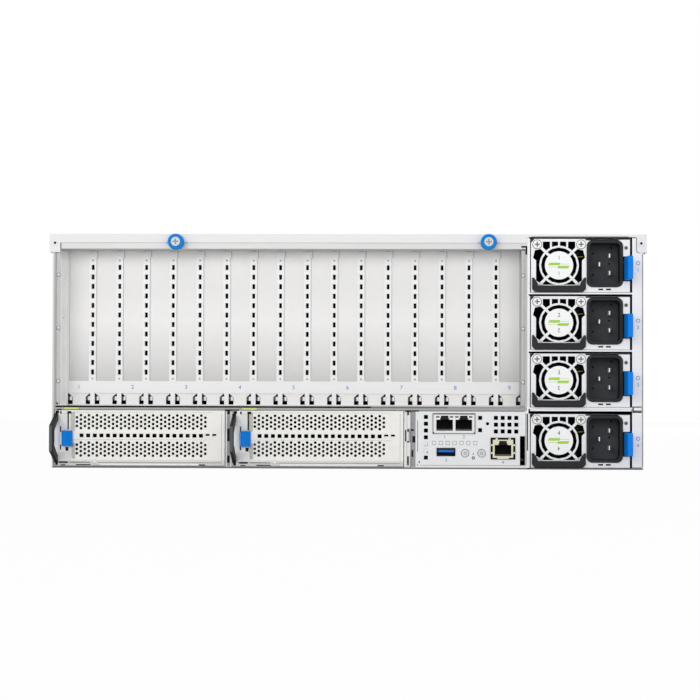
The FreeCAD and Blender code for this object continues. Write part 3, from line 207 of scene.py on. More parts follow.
# Black plastic, and painted shade: the shaded copy of the riser pulls and the dark of the socket keyways.
fan_black = finish("fan_black", (20, 20, 22), 0.5, **MOULDED)
foam = finish("filter_foam", (24, 24, 25), 0.9, grain=0.3, size=700.0, bump=0.8, specular=0.1)
mesh_grey = finish("mesh_grey", (96, 97, 100), 0.45, 0.5, grain=0.06, size=300.0)
paper = finish("sticker_paper", (252, 252, 252), 0.45, 0.2, **PAINT)
green = finish("sticker_green", (186, 230, 96), 0.5, **PAINT)
lime = finish("lug_lime", (226, 238, 150), 0.5, **PAINT)
cream = finish("port_cream", (233, 230, 205), 0.45, 0.1, grain=0.03, size=300.0)
port_steel = finish("port_steel", (214, 214, 212), 0.35, 0.5, grain=0.03, size=300.0)
usb_dark = finish("usb_dark_blue", (6, 40, 88), 0.4, **PAINT)
usb_light = finish("usb_light_blue", (20, 116, 214), 0.4, **PAINT)
cap_white = finish("button_white", (236, 236, 236), 0.35, **PAINT)
board = finish("board_green", (24, 86, 48), 0.4, grain=0.12, size=220.0)
cooler = finish("cooler_metal", (200, 200, 204), 0.3, 0.8, stretch=BRUSHED)
module = finish("memory_black", (28, 28, 31), 0.45, **MOULDED)
gold = finish("contact_gold", (196, 160, 84), 0.3, 0.9, size=300.0)
wire_yellow = finish("wire_yellow", (170, 156, 52), 0.45, **PAINT)


def dress(material, *names):
    for name in names:
        slots = nodes[name].data.materials
        slots.clear()
        slots.append(material)


def dress_part(name, material, wanted):
    """Gives another material to those faces of a node whose middle, in millimetres, is wanted."""
    mesh = nodes[name].data
    mesh.materials.append(material)
    index = len(mesh.materials) - 1
    for polygon in mesh.polygons:
        if wanted(*(polygon.center / MM)):
            polygon.material_index = index


# Outlines across Y, as lists of points (X, Z) that run anticlockwise in the rear view

def rect(left, right, low, high):
    return [(left, low), (right, low), (right, high), (left, high)]


def around(x, z, width, height):
    return rect(x - width / 2, x + width / 2, z - height / 2, z + height / 2)


def circle(x, z, radius, sides=32):
    turns = [2 * math.pi * step / sides for step in range(sides)]
    return [(x + radius * math.cos(turn), z + radius * math.sin(turn)) for turn in turns]


def round_rect(left, right, low, high, radius, steps=6):
    middles = ((right - radius, high - radius, 0), (left + radius, high - radius, 90),
               (left + radius, low + radius, 180), (right - radius, low + radius, 270))
    points = []
    for x, z, start in middles:
        for step in range(steps + 1):
            turn = math.radians(start + 90 * step / steps)
            points.append((x + radius * math.cos(turn), z + radius * math.sin(turn)))
    return points


def cross(x, z, reach, arm):
    half = [(arm, reach), (arm, arm), (reach, arm), (reach, -arm), (arm, -arm), (arm, -reach)]
    ring = half + [(-a, -b) for a, b in half]
    return [(x + a, z + b) for a, b in reversed(ring)]


def stub(base, top, height):
    """Profile of a short turned solid with a flat end: radius at its foot, radius at its end, height."""
    return [(0, 0), (base, 0), (top, height), (0, height)]


def holds(outline, point):
    """Whether the outline goes round the point."""
    inside = False
    for (ax, az), (bx, bz) in zip(outline, outline[1:] + outline[:1]):
        if (az > point.y) != (bz > point.y) and point.x < ax + (bx - ax) * (point.y - az) / (bz - az):
            inside = not inside
    return inside


class Solids:
    """Closed solids that make up one piece, in millimetres."""

    def __init__(self):
        self.points = []
        self.faces = []

    def sheet(self, outline, near, far, holes=()):
        """A flat sheet across Y from one level to another, with holes through it."""
        loops = [outline, *holes]
        flat, edges = [], []
        for loop in loops:
            first = len(flat)
            flat += [Vector(point) for point in loop]
            edges += [(first + i, first + (i + 1) % len(loop)) for i in range(len(loop))]
        inside_outline = 1
        found, _, triangles, origins, _, _ = delaunay_2d_cdt(flat, edges, [], inside_outline, 1e-5)
        base = len(self.points)
        for level in (near, far):
            self.points += [(point.x, level, point.y) for point in found]
        count = len(found)
        owner = [number for number, loop in enumerate(loops) for _ in loop]
        for a, b, c in triangles:
            owners = {owner[origins[corner][0]] for corner in (a, b, c)}
            middle = (found[a] + found[b] + found[c]) / 3
            if len(owners) == 1 and owners != {0} and holds(loops[owners.pop()], middle):
                continue
            self.faces.append((base + a, base + b, base + c))
            self.faces.append((base + count + c, base + count + b, base + count + a))
        place = {source: index for index, sources in enumerate(origins) for source in sources}
        for start, end in edges:
            a, b = base + place[start], base + place[end]
            self.faces.append((a, a + count, b + count, b))
        return self

    def block(self, left, right, near, far, low, high):
        return self.sheet(rect(left, right, low, high), near, far)

    def turned(self, middle, axis, profile, sides=24):
        """A closed turned solid: profile holds (radius, distance along the axis), radius 0 at both ends."""
        middle, axis = Vector(middle), Vector(axis).normalized()
        side = axis.orthogonal().normalized()
        other = axis.cross(side)
        rings = []
        for radius, along in profile:
            centre = middle + axis * along
            turns = [2 * math.pi * step / sides for step in range(sides if radius else 1)]
            rings.append(len(self.points))
            spokes = [side * math.cos(turn) + other * math.sin(turn) for turn in turns]
            self.points += [tuple(centre + spoke * radius) for spoke in spokes]
        for index in range(len(profile) - 1):
            here, after = rings[index], rings[index + 1]
            for step in range(sides):
                following = (step + 1) % sides
                if profile[index][0] == 0:
                    self.faces.append((here, after + step, after + following))
                elif profile[index + 1][0] == 0:
                    self.faces.append((here + step, after, here + following))
                else:
                    self.faces.append((here + step, after + step, after + following, here + following))
        return self

    def piece(self, name, body, material, slot, replaces=(), bevel=0.0, smooth=35.0):
        mesh = bpy.data.meshes.new(name)
        mesh.from_pydata([Vector(point) * MM for point in self.points], [], self.faces)
        work = bmesh.new()
        work.from_mesh(mesh)
        bmesh.ops.recalc_face_normals(work, faces=work.faces)
        work.to_mesh(mesh)
        work.free()
        return add_piece(name, mesh, body, material, replaces, bevel, smooth)


def add_piece(name, mesh, body, material, replaces=(), bevel=0.0, smooth=35.0):
    mesh.materials.clear()
    mesh.materials.append(material)
    mesh.shade_smooth()
    mesh.set_sharp_from_angle(angle=math.radians(smooth))
    piece = bpy.data.objects.new(name, mesh)
    bpy.context.collection.objects.link(piece)
    if bevel:
        soften = piece.modifiers.new("soft_edges", "BEVEL")
        soften.width = bevel * MM
        soften.segments = 3
        soften.limit_method = "ANGLE"
        soften.angle_limit = math.radians(30)
        soften.harden_normals = True
    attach(piece, body)
    if replaces:
        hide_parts(*replaces)
    return piece


def softened(node, body, material, bevel):
    """The node's own form with its edges rounded over."""
    mesh = nodes[node].data.copy()
    work = bmesh.new()
    work.from_mesh(mesh)
    bmesh.ops.remove_doubles(work, verts=work.verts, dist=1e-6)
    bmesh.ops.dissolve_limit(work, angle_limit=math.radians(1), verts=work.verts, edges=work.edges)
    work.to_mesh(mesh)
    work.free()
    return add_piece(node + "_shape", mesh, body, material, (node,), bevel)


def digit(text, name, body, x, z, face, height, material, turn=0.0):
    """A plain printed digit on a face that looks to the rear."""
    curve = bpy.data.curves.new(name, "FONT")
    curve.body = text
    curve.size = height * MM * 1.4
    curve.align_x = "CENTER"
    curve.align_y = "CENTER"
    curve.extrude = 0.03 * MM
    curve.materials.append(material)
    piece = bpy.data.objects.new(name, curve)
    bpy.context.collection.objects.link(piece)
    piece.location = Vector((x, face - 0.03, z)) * MM
    piece.rotation_euler = (math.pi / 2, turn, 0)
    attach(piece, body)


def marks(name, body, face, material, slot, *outlines, depth=0.05):
    """Thin flat plates on a face that looks to the rear, such as print, or painted shade and shadow for a
    dark opening, gap or edge.
    """
    plates = Solids()
    for outline in outlines:
        plates.sheet(outline, face - depth, face)
    plates.piece(name, body, material, slot)


def frame_round(outer, inner, near, far, name, body, material, slot):
    Solids().sheet(outer, near, far, [inner]).piece(name, body, material, slot)


def screw_head(solids, x, z, face, radius, height):
    """A low screw head with a cross recess, standing on a face that looks to the rear."""
    base = height * 0.4
    recess = cross(x, z, radius * 0.6, radius * 0.15)
    solids.turned((x, face, z), REARWARD, stub(radius, radius, base))
    solids.sheet(circle(x, z, radius * 0.94), face - height, face - base, [recess])


# Plain dress of the solids, with painted shade on some of their faces

dress(zinc, *nodes)
dress(wall_steel, "slot_wall")
dress(cover_steel, "top_cover", "front_cover")
dress(strip_steel, "psu_cage")
dress(bar_steel, "rear_crossbar", "middle_shelf")
dress(panel_steel, "io_panel")
dress(blank_steel, "slot_blanks")
# Painted light: the slot brackets take the lit copy of the steel; painted shade: the right bracket and the
# left one's front edge take darker copies.
dress(lit_side_steel, "slot_side_brackets")
dress_part("slot_side_brackets", recess_shade_steel, lambda x, y, z: x > 0.0)
dress_part("slot_side_brackets", shaded_edge_steel, lambda x, y, z: x < 0.0 and y < REAR_EDGE)
dress(divider_steel, "bay_dividers")
# Painted shade: the middle shelf's front edge.
dress_part("middle_shelf", shaded_edge_steel, lambda x, y, z: y < REAR_EDGE)
# Painted shade: the pan's lower rear edge.
dress_part("chassis_pan", joint_and_shade_grey, lambda x, y, z: y < REAR_EDGE and z < 1.3)
dress_part("chassis_pan", divider_steel, lambda x, y, z: y < REAR_EDGE and x < -218.0 and z > 1.3)
# Painted shade: the inside of the supply cage.
dress_part("psu_cage", bay_shade_and_lamp_grey, lambda x, y, z: y > REAR + 1.3)
dress(riser_steel, "riser_left_cage", "riser_right_cage")
dress(board, "motherboard", "network_card", "gpu_board", "power_board")
dress(cooler, "cpu_heatsinks")
dress(module, "memory_modules")
dress(fan_black, "fan_wall", "fan_rotor_1", "fan_rotor_2", "fan_rotor_3")
dress(dark, "front_panel")
dress(port_steel, "network_ports")
dress_part("network_ports", cream, lambda x, y, z: x > 100)
# Painted shadow: the insides of the network sockets are flat black.
dress_part("network_ports", well, lambda x, y, z: REAR - 0.7 < y < REAR + 14.0
           and (28.0 < z < 40.0 and 66.3 < x < 93.4 or 9.5 < z < 21.5 and 109.6 < x < 122.5))
dress(usb_dark, "usb_port")


# Cover, thumbscrews and the recess with its slots

def thumbscrew(side, x, z):
    body = f"thumbscrew_{side}"
    face = REAR - 1.5
    ridges, crest, groove, length = 36, 6.0, 5.72, 7.4
    outline = []
    for step in range(2 * ridges):
        turn = math.pi * step / ridges
        radius = crest if step % 2 else groove
        outline.append((x + radius * math.cos(turn), z + radius * math.sin(turn)))
    knob = Solids()
    knob.sheet(outline, face - length, face)
    knob.turned((x, face - length + 0.01, z), REARWARD, stub(5.75, 5.3, 0.5), 40)
    knob.piece(f"{body}_knob", body, blue, "blue_knob", (body,), 0.12)
    core = Solids()
    end = face - length - 0.4
    shank = [(0, 0), (1.8, 0), (1.8, 8.6), (1.4, 9.0), (0, 9.0)]
    core.turned((x, end, z), REARWARD, stub(3.4, 3.4, 0.3), 32)
    core.sheet(circle(x, z, 3.3), end - 0.8, end - 0.29, [cross(x, z, 2.2, 0.5)])
    # Painted shade: the floor of the cross recess.
    marks(f"{body}_cross", body, end - 0.3, gap_shade_steel, "dark_plastic", cross(x, z, 2.1, 0.48))
    core.turned((x, face, z), (0, 1, 0), shank, 20)
    core.piece(f"{body}_core", body, bright, "bright_metal", bevel=0.06)


def cover_details():
    for side, (x, z) in SCREWS.items():
        thumbscrew(side, x, z)
    screws, holes = Solids(), Solids()
    screw_level = 167.8
    for x in (-218.2, 218.2):
        screws.turned((x, COVER_FACE, screw_level), REARWARD, stub(2.6, 2.3, 0.35), 28)
        holes.turned((x, COVER_FACE - 0.3, screw_level), REARWARD, stub(0.95, 0.95, 0.1), 20)
    screws.piece("cover_corner_screws", "top_cover", cover_steel, "zinc_steel")
    # Painted shadow in the corner screws' recesses; below, painted shade in the lip notches and along the
    # corner tab's edge.
    holes.piece("cover_corner_screw_recesses", "top_cover", well, "inlet_black")
    notches = Solids()
    for x, z in SCREWS.values():
        for middle in (x - 7.4, x + 7.4):
            notches.block(middle - 0.8, middle + 0.8, COVER_FACE - 0.15, COVER_FACE, z - 0.7, z + 0.1)
    notches.piece("cover_lip_notches", "top_cover", shade_steel, "zinc_steel")
    tab_edge = [(214.4, 172.3), (214.4, 162.6), (214.9, 161.4), (216.4, 160.7), (217.6, 160.7),
                (216.5, 160.98), (215.4, 161.6), (214.95, 162.7), (214.95, 172.0)]
    marks("cover_tab_edge", "top_cover", COVER_FACE, joint_and_shade_grey, "dark_plastic", tab_edge)
    marks("cover_lip_shade", "top_cover", COVER_FACE, gap_shade_steel, "zinc_steel",
          rect(137.0, 209.0, 172.5, 173.1))


def recess_details():
    rivets, shadow_rings, flanges = Solids(), Solids(), Solids()
    head = [(0, 0), (1.3, 0), (1.1, 0.5), (0.7, 0.8), (0, 0.9)]
    low, high = 47.2, 162.6
    rivet_levels = (144.0, 104.4, 64.6)
    # The left lining is painted light, a lit copy of the steel; the right lining and the flanges are
    # painted shade, a darker copy.
    sides = (("left", -217.6, -217.0, -214.3, -215.7, lit_side_steel),
             ("right", 132.5, 131.9, 129.6, 131.0, recess_shade_steel))
    for side, wall, inner, edge, rivet_x, tone in sides:
        lining = Solids().block(min(wall, inner), max(wall, inner), REAR + 2.6, REAR + 15.0, low, high)
        lining.piece(f"recess_lining_{side}", "chassis", tone, "zinc_steel")
        flanges.block(min(wall, edge), max(wall, edge), FLANGE_FACE, FLANGE_FACE + 0.6, low, high)
        for z in rivet_levels:
            rivets.turned((rivet_x, FLANGE_FACE, z), REARWARD, head)
            shadow_rings.turned((rivet_x, FLANGE_FACE, z), REARWARD, stub(1.6, 1.6, 0.08))
    rivets.piece("recess_rivets", "chassis", bracket_steel, "bright_metal")
    # Painted shadow: a dark ring round each rivet head.
    shadow_rings.piece("recess_rivet_shadows", "chassis", joint_and_shade_grey, "dark_plastic")
    flanges.piece("recess_flanges", "chassis", recess_shade_steel, "zinc_steel", bevel=0.15)


def slot_details():
    slots = [SLOT_FIRST + SLOT_PITCH * step for step in range(SLOT_COUNT)]
    strips = [SLOT_FIRST + SLOT_PITCH * (step + 0.5) for step in range(SLOT_COUNT - 1)]
    foot, top = 65.5, 164.6
    # Painted shade: the dimples, the dark tops of the strips, and shadow lines along the strip edges and
    # under each slot.
    dimples = Solids()
    for x in strips:
        for z in (156.3, 66.8):
            dimples.turned((x, SLOT_WALL, z), REARWARD, stub(0.75, 0.5, 0.12), 16)
    dimples.piece("slot_strip_dimples", "chassis", shade_steel, "zinc_steel")
    marks("slot_strip_top_shades", "chassis", SLOT_WALL, joint_and_shade_grey, "zinc_steel",
          *[rect(x - 2.0, x + 2.0, 163.4, top) for x in strips],
          *[rect(x + 3.4, x + 3.7, 158.6, top) for x in strips])
    marks("slot_edge_shadow_lines", "chassis", SLOT_WALL, shade_steel, "zinc_steel",
          rect(-211.1, -210.85, foot, top),
          *[rect(x + 2.56, x + 2.84, foot, 158.4) for x in strips],
          *[rect(x - 7.3, x + 7.3, foot - 0.3, foot - 0.05) for x in slots])
    for number, x in enumerate(slots[::2], 1):
        digit(str(number), f"slot_digit_{number}", "chassis", x, 60.4, SLOT_WALL, 3.0, ink_blue)
    # Painted shade: a band along the wall's foot.
    marks("slot_wall_low_shade", "chassis", SLOT_WALL, bar_steel, "zinc_steel", rect(-216.0, 131.0, 46.0, 47.4))
    # The grey blocks behind the guides are painted shade in the groove under each slot.
    guides, grey_blocks = Solids(), Solids()
    for x in slots:
        for left in (x - 8.4, x + 5.2):
            grey_blocks.block(left, left + 3.2, SLOT_WALL + 0.6, SLOT_WALL + 1.0, 50.4, 53.2)
            guides.block(left + 1.6, left + 3.2, SLOT_WALL + 0.2, SLOT_WALL + 0.6, 50.4, 53.4)
    guides.piece("slot_foot_guides", "chassis", bracket_steel, "zinc_steel")
    grey_blocks.piece("slot_foot_groove_shades", "chassis", dark_grey_and_shade, "dark_plastic")
    # Painted shade: the wall's right end.
    marks("slot_wall_end", "chassis", SLOT_WALL, recess_shade_steel, "zinc_steel",
          rect(128.95, 131.0, 56.0, 163.5))


def shelf_details():
    lugs = Solids()
    for left in RISERS.values():
        lugs.block(left + 7.0, left + 18.2, REAR - 1.2, REAR, 43.5, 45.0)
    lugs.piece("shelf_lugs", "chassis", lime, "blue_knob", bevel=0.2)
    # Painted shadow: dark strips along the shelf's front, in the gap under the slot wall.
    runs = (("shelf_shadow_deep", -217.4, 18.0, well), ("shelf_shadow_middle", 18.0, 75.0, joint_and_shade_grey),
            ("shelf_shadow_end", 75.0, 132.3, gap_shade_steel))
    shadow_face = REAR - 0.15
    for name, left, right, tone in runs:
        shadow_strip = Solids().block(left, right, shadow_face, REAR, 45.1, 45.8)
        shadow_strip.block(left, right, shadow_face, REAR + 1.6, 45.8, 46.4)
        shadow_strip.piece(name, "chassis", tone, "dark_plastic")
    # Painted shadow in the shelf's notches and in the recess corner.
    marks("shelf_notches", "chassis", REAR, well, "inlet_black", rect(-216.2, -212.8, 42.8, 43.8),
          rect(-90.9, -80.2, 42.8, 43.8), rect(43.4, 48.0, 42.5, 43.6))
    marks("recess_corner_gap", "chassis", FLANGE_FACE, well, "inlet_black",
          [(-217.0, 47.3), (-215.3, 47.3), (-217.0, 49.4)])


def cage_details():
    """Edges and gaps of the crossbar's ends and of the cage round the supplies: painted shadow in the gaps,
    painted shade along the edges, and dark joint lines.
    """
    marks("crossbar_end_gaps", "chassis", REAR, dark_grey_and_shade, "dark_plastic",
          rect(-214.3, -213.7, 163.7, 168.4))
    marks("cage_corner_gap", "chassis", REAR, well, "inlet_black", rect(211.9, 214.2, 171.8, 172.4))
    marks("crossbar_end_notch", "chassis", REAR, well, "inlet_black",
          rect(129.4, 133.9, 164.6, 165.9), rect(132.6, 133.9, 159.4, 164.6))
    marks("cage_edge_shade", "chassis", REAR, recess_shade_steel, "zinc_steel",
          rect(132.4, 134.0, 46.9, 159.3), depth=0.03)
    lips = Solids()
    for level in SUPPLY_LEVELS.values():
        lips.block(134.9, 135.9, REAR + 0.1, BAY_FACE, level - 0.4, level + 39.9)
    lips.block(136.0, 211.0, REAR, BAY_FACE, 43.3, 44.8)
    lips.piece("cage_lips", "chassis", strip_steel, "zinc_steel")
    marks("cage_side_gaps", "chassis", REAR, well, "inlet_black",
          rect(133.75, 134.6, 14.0, 41.4), rect(133.75, 136.4, 0.1, 1.1))
    marks("panel_edge_shade", "chassis", REAR, shade_steel, "zinc_steel", rect(132.5, 133.65, 3.0, 41.4))
    joint = Solids().block(211.8, 218.6, REAR, BAY_FACE, 42.2, 46.9)
    joint.piece("cage_strip_link", "chassis", strip_steel, "zinc_steel")
    marks("cage_strip_joint", "chassis", REAR, joint_and_shade_grey, "inlet_black",
          rect(211.7, 218.7, 43.5, 44.0), rect(211.7, 218.7, 1.25, 1.8), rect(218.85, 219.4, 2.0, 160.0))


def divider_details():
    low, high = 1.5, 42.8
    # Painted shade: the grey bands and the grey line on the dividers and beside the connector panel;
    # painted shadow: the black slots and gaps.
    marks("divider_shade", "chassis", BAY_FACE, gap_shade_steel, "zinc_steel",
          rect(-89.2, -86.9, low, high), rect(46.3, 47.4, 20.0, 29.6), depth=0.03)
    marks("divider_edges", "chassis", BAY_FACE, bracket_steel, "zinc_steel",
          rect(-90.25, -89.3, low, high), rect(-86.8, -86.2, 10.0, 30.0), rect(42.75, 44.3, low, high),
          rect(45.2, 47.4, 30.4, 39.9), rect(45.2, 47.4, 9.8, 19.4), rect(44.5, 45.3, 19.6, 29.4),
          depth=0.04)
    left_slots = ((40.2, 42.7), (20.1, 29.6), (4.1, 9.5))
    right_slots = ((39.9, 42.7), (27.5, 29.6), (19.4, 20.9), (2.9, 9.4))
    marks("divider_slots", "chassis", BAY_FACE, well, "inlet_black",
          *[rect(-89.1, -87.1, *span) for span in left_slots],
          *[rect(45.0, 46.2, *span) for span in right_slots],
          rect(43.4, 44.4, 20.4, 29.0), depth=0.06)
    marks("panel_side_shade", "chassis", REAR, gap_shade_steel, "zinc_steel",
          rect(48.05, 51.2, low, 43.0), depth=0.03)
    marks("panel_side_edge", "chassis", REAR, bracket_steel, "zinc_steel", rect(51.3, 52.4, 1.3, 43.0))
    marks("panel_side_line", "chassis", REAR, joint_and_shade_grey, "dark_plastic", rect(52.5, 53.0, 12.9, 36.2))
    marks("panel_side_gaps", "chassis", REAR, well, "inlet_black",
          rect(48.05, 50.0, 28.2, 29.6), rect(48.8, 51.1, 19.7, 24.5), rect(48.3, 49.6, 9.0, 14.2),
          rect(48.05, 53.6, 42.6, 43.6), depth=0.06)


# Power supplies

def inlet(number, level):
    """Inlet with a rounded flange, a deep well and three bright pins."""
    body, node = f"psu_{number}", f"psu_{number}_inlet"
    left, right = SUPPLY_LEFT + 41.2, SUPPLY_LEFT + 68.2
    low, high = level + 3.7, level + 38.7
    rim, wall, face, bottom = 2.3, 1.2, REAR - 1.5, REAR + 20.0
    mouth = round_rect(left + rim, right - rim, low + rim, high - rim, 3.0)
    shell = Solids()
    shell.sheet(round_rect(left, right, low, high, 4.6), face, REAR, [mouth])
    barrel = rect(left + wall, right - wall, low + wall, high - wall)
    shell.sheet(barrel, REAR, bottom, [mouth])
    shell.piece(f"{node}_shell", body, black, "inlet_black", (node,), 0.45)
    base = Solids()
    base.sheet(barrel, bottom, bottom + 2.5)
    base.piece(f"{node}_floor", body, well_grey, "inlet_black")
    x, z = (left + right) / 2, (low + high) / 2
    pins = Solids()
    for across, up in ((3.9, 6.3), (3.9, -6.6), (-3.6, -0.1)):
        pins.sheet(around(x + across, z + up, 1.05, 3.3), REAR + 5.0, bottom)
    pins.piece(f"{node}_pins", body, pin_metal, "bright_metal", bevel=0.3)
    # Painted shadow: dark dimples in the floor of the well.
    dimples = ((-7.5, 8.6), (-7.5, -7.3), (6.3, 13.0), (4.7, 1.0))
    marks(f"{node}_dimples", body, bottom, well, "inlet_black",
          *[circle(x + across, z + up, 0.8, 16) for across, up in dimples])


def supply_screws(body, level):
    z, head = level + SUPPLY_SCREW_LEVEL, 3.2
    places = {side: SUPPLY_LEFT + across for side, across in SUPPLY_SCREWS.items()}
    screws = Solids()
    for x in places.values():
        screw_head(screws, x, z, REAR, head, 1.1)
    screws.piece(f"{body}_screws", body, pin_metal, "bright_metal", bevel=0.1)
    # Painted shade: the cross recesses, and below, a dark ring round each head.
    marks(f"{body}_screw_recesses", body, REAR - 0.44, joint_and_shade_grey, "dark_plastic",
          *[cross(x, z, 1.85, 0.44) for x in places.values()])
    for side, x in places.items():
        frame_round(circle(x, z, 3.6), circle(x, z, head), REAR - 0.1, REAR,
                    f"{body}_screw_shade_ring_{side}", body, joint_and_shade_grey, "bright_metal")


def supply_face(number, level):
    body = f"psu_{number}"
    x, z = SUPPLY_LEFT + 20.8, level + 19.9
    sticker_face = REAR - 0.4
    guard = Solids()
    guard.sheet(circle(x, z, 14.65, 64), REAR - 0.35, REAR, [circle(x, z, 13.4, 64)])
    guard.sheet(circle(x, z, 10.55, 48), REAR - 0.3, REAR)
    guard.piece(f"{body}_guard", body, face_steel, "supply_steel", bevel=0.1)
    sticker = Solids().sheet(circle(x, z, 10.35, 48), sticker_face, REAR - 0.3)
    sticker.piece(f"{body}_sticker", body, paper, "button_white")
    slant = [(-4.6, -1.0), (3.6, -1.0), (4.6, 1.0), (-3.6, 1.0)]
    bars = [[(x + across + a, z + up + b) for a, b in slant] for across, up in ((-3.5, 1.0), (3.3, -1.3))]
    lines = [around(x + across, z + up, 7.6, 0.3) for across, up in ((4.0, 1.0), (-4.0, -1.3))]
    marks(f"{body}_sticker_bars", body, sticker_face, green, "board_green", *bars, *lines)
    for place, up, turn in (("upper", 5.6, 0.0), ("lower", -5.6, math.pi)):
        digit(str(number), f"{body}_digit_{place}", body, x, z + up, sticker_face, 3.0, dark_grey_and_shade,
              turn)
    supply_screws(body, level)
    clips = Solids()
    for middle in (SUPPLY_LEFT + 7.4, SUPPLY_LEFT + 34.2):
        clips.block(middle - 1.5, middle + 1.5, REAR - 0.6, REAR, level + 5.2, level + 7.0)
    clips.piece(f"{body}_clips", body, bright, "bright_metal", bevel=0.2)
    lamp_x, lamp_z = SUPPLY_LEFT + 70.5, level + 33.0
    bezel = Solids().turned((lamp_x, REAR, lamp_z), REARWARD, stub(1.6, 1.5, 0.3))
    bezel.piece(f"{body}_lamp_bezel", body, shade_steel, "port_metal")
    lens = [(0, 0), (1.1, 0), (0.8, 0.3), (0, 0.4)]
    lamp_lens = Solids().turned((lamp_x, REAR - 0.3, lamp_z), REARWARD, lens)
    lamp_lens.piece(f"{body}_lamp_lens", body, dark_grey_and_shade, "dark_plastic")
    wire_start, wire_way = (SUPPLY_LEFT + 33.9, REAR + 2.2, level + 26.2), (1.0, 0.1, 0.1)
    wire = Solids().turned(wire_start, wire_way, stub(0.25, 0.25, 5.0), 12)
    wire.piece(f"{body}_wire", body, wire_yellow, "blue_knob")
    # Painted shadow in the gaps along the supply's top.
    left, top = SUPPLY_LEFT, level + 39.55
    marks(f"{body}_top_gaps", body, REAR, well, "inlet_black",
          [(left + 0.05, top - 2.9), (left + 2.6, top), (left + 0.05, top)],
          rect(left + 40.4, left + 64.8, top - 1.1, top), rect(left + 64.8, left + 73.2, top - 0.5, top))


def supplies():
    mark_x = 216.0
    for number, level in SUPPLY_LEVELS.items():
        body = f"psu_{number}"
        dress(face_steel, f"{body}_case")
        dress(fan_black, f"{body}_fan")
        low, high = level + 0.1, level + 39.5
        # Painted shadow: the case's faces inside, behind its face, are flat black.
        dress_part(f"{body}_case", well, lambda x, y, z: REAR + 0.9 < y < REAR + 31.5
                   and SUPPLY_LEFT + 0.1 < x < SUPPLY_LEFT + 73.2 and low < z < high)
        supply_face(number, level)
        inlet(number, level)
        softened(f"{body}_handle", f"{body}_handle", dark, 0.6)
        softened(f"{body}_latch", f"{body}_latch", latch_blue, 0.5)
        ring_z = level + 21.6
        frame_round(circle(mark_x, ring_z, 1.5), circle(mark_x, ring_z, 1.05), REAR - 0.04, REAR,
                    f"{body}_mark_ring", "chassis", ink_blue, "blue_knob")
        digit(str(number), f"{body}_mark_digit", "chassis", mark_x, level + 16.4, REAR, 2.6, ink_blue)


# Riser modules

def perforated_blanks(body, left, lower_rise):
    """Two plates behind the windows, with columns of three and four holes in turn."""
    columns, pitch, row, hole = 33, 3.0, 3.18, 1.08
    first = left + 16.6
    blanks = Solids()
    for middle, rise in ((34.35, 0.0), (13.95, lower_rise)):
        holes = []
        for column in range(columns):
            count = 4 if column % 2 else 3
            for step in range(count):
                z = middle + rise + (step - (count - 1) / 2) * row
                holes.append(circle(first + column * pitch, z, hole, 12))
        plate = rect(left + 9.6, left + 120.1, middle - 8.5, middle + 8.5)
        blanks.sheet(plate, BLANK_FACE, BLANK_FACE + 0.86, holes)
    blanks.piece(f"{body}_perforated_blanks", body, riser_steel, "zinc_steel", (f"{body}_blanks",))


def latch_column(body, left, base, plate_left, plate_right):
    """The plates round the latch and along the foot, with a rivet."""
    column = Solids()
    column.sheet(round_rect(left + plate_left, left + plate_right, 8.6, 34.4, 0.8), REAR - 1.0, REAR)
    column.sheet(rect(base + 3.5, base + 9.4, 31.2, 40.0), REAR - 0.8, REAR)
    column.sheet(rect(base + 5.1, base + 9.4, 28.3, 31.3), REAR - 0.8, REAR)
    column.sheet(round_rect(base + 2.8, base + 11.6, 4.9, 12.0, 0.8), REAR - 1.2, REAR)
    column.sheet(rect(base + 5.4, base + 9.5, 40.4, 42.6), REAR - 1.2, REAR)
    column.sheet(rect(base + 11.6, base + 23.0, 4.8, 6.0), REAR - 0.9, REAR)
    head = [(0, 0), (1.6, 0), (1.3, 0.5), (0.7, 0.8), (0, 0.8)]
    column.turned((base + 30.0, REAR, 4.4), REARWARD, head)
    column.piece(f"{body}_column", body, bracket_steel, "zinc_steel", bevel=0.15)


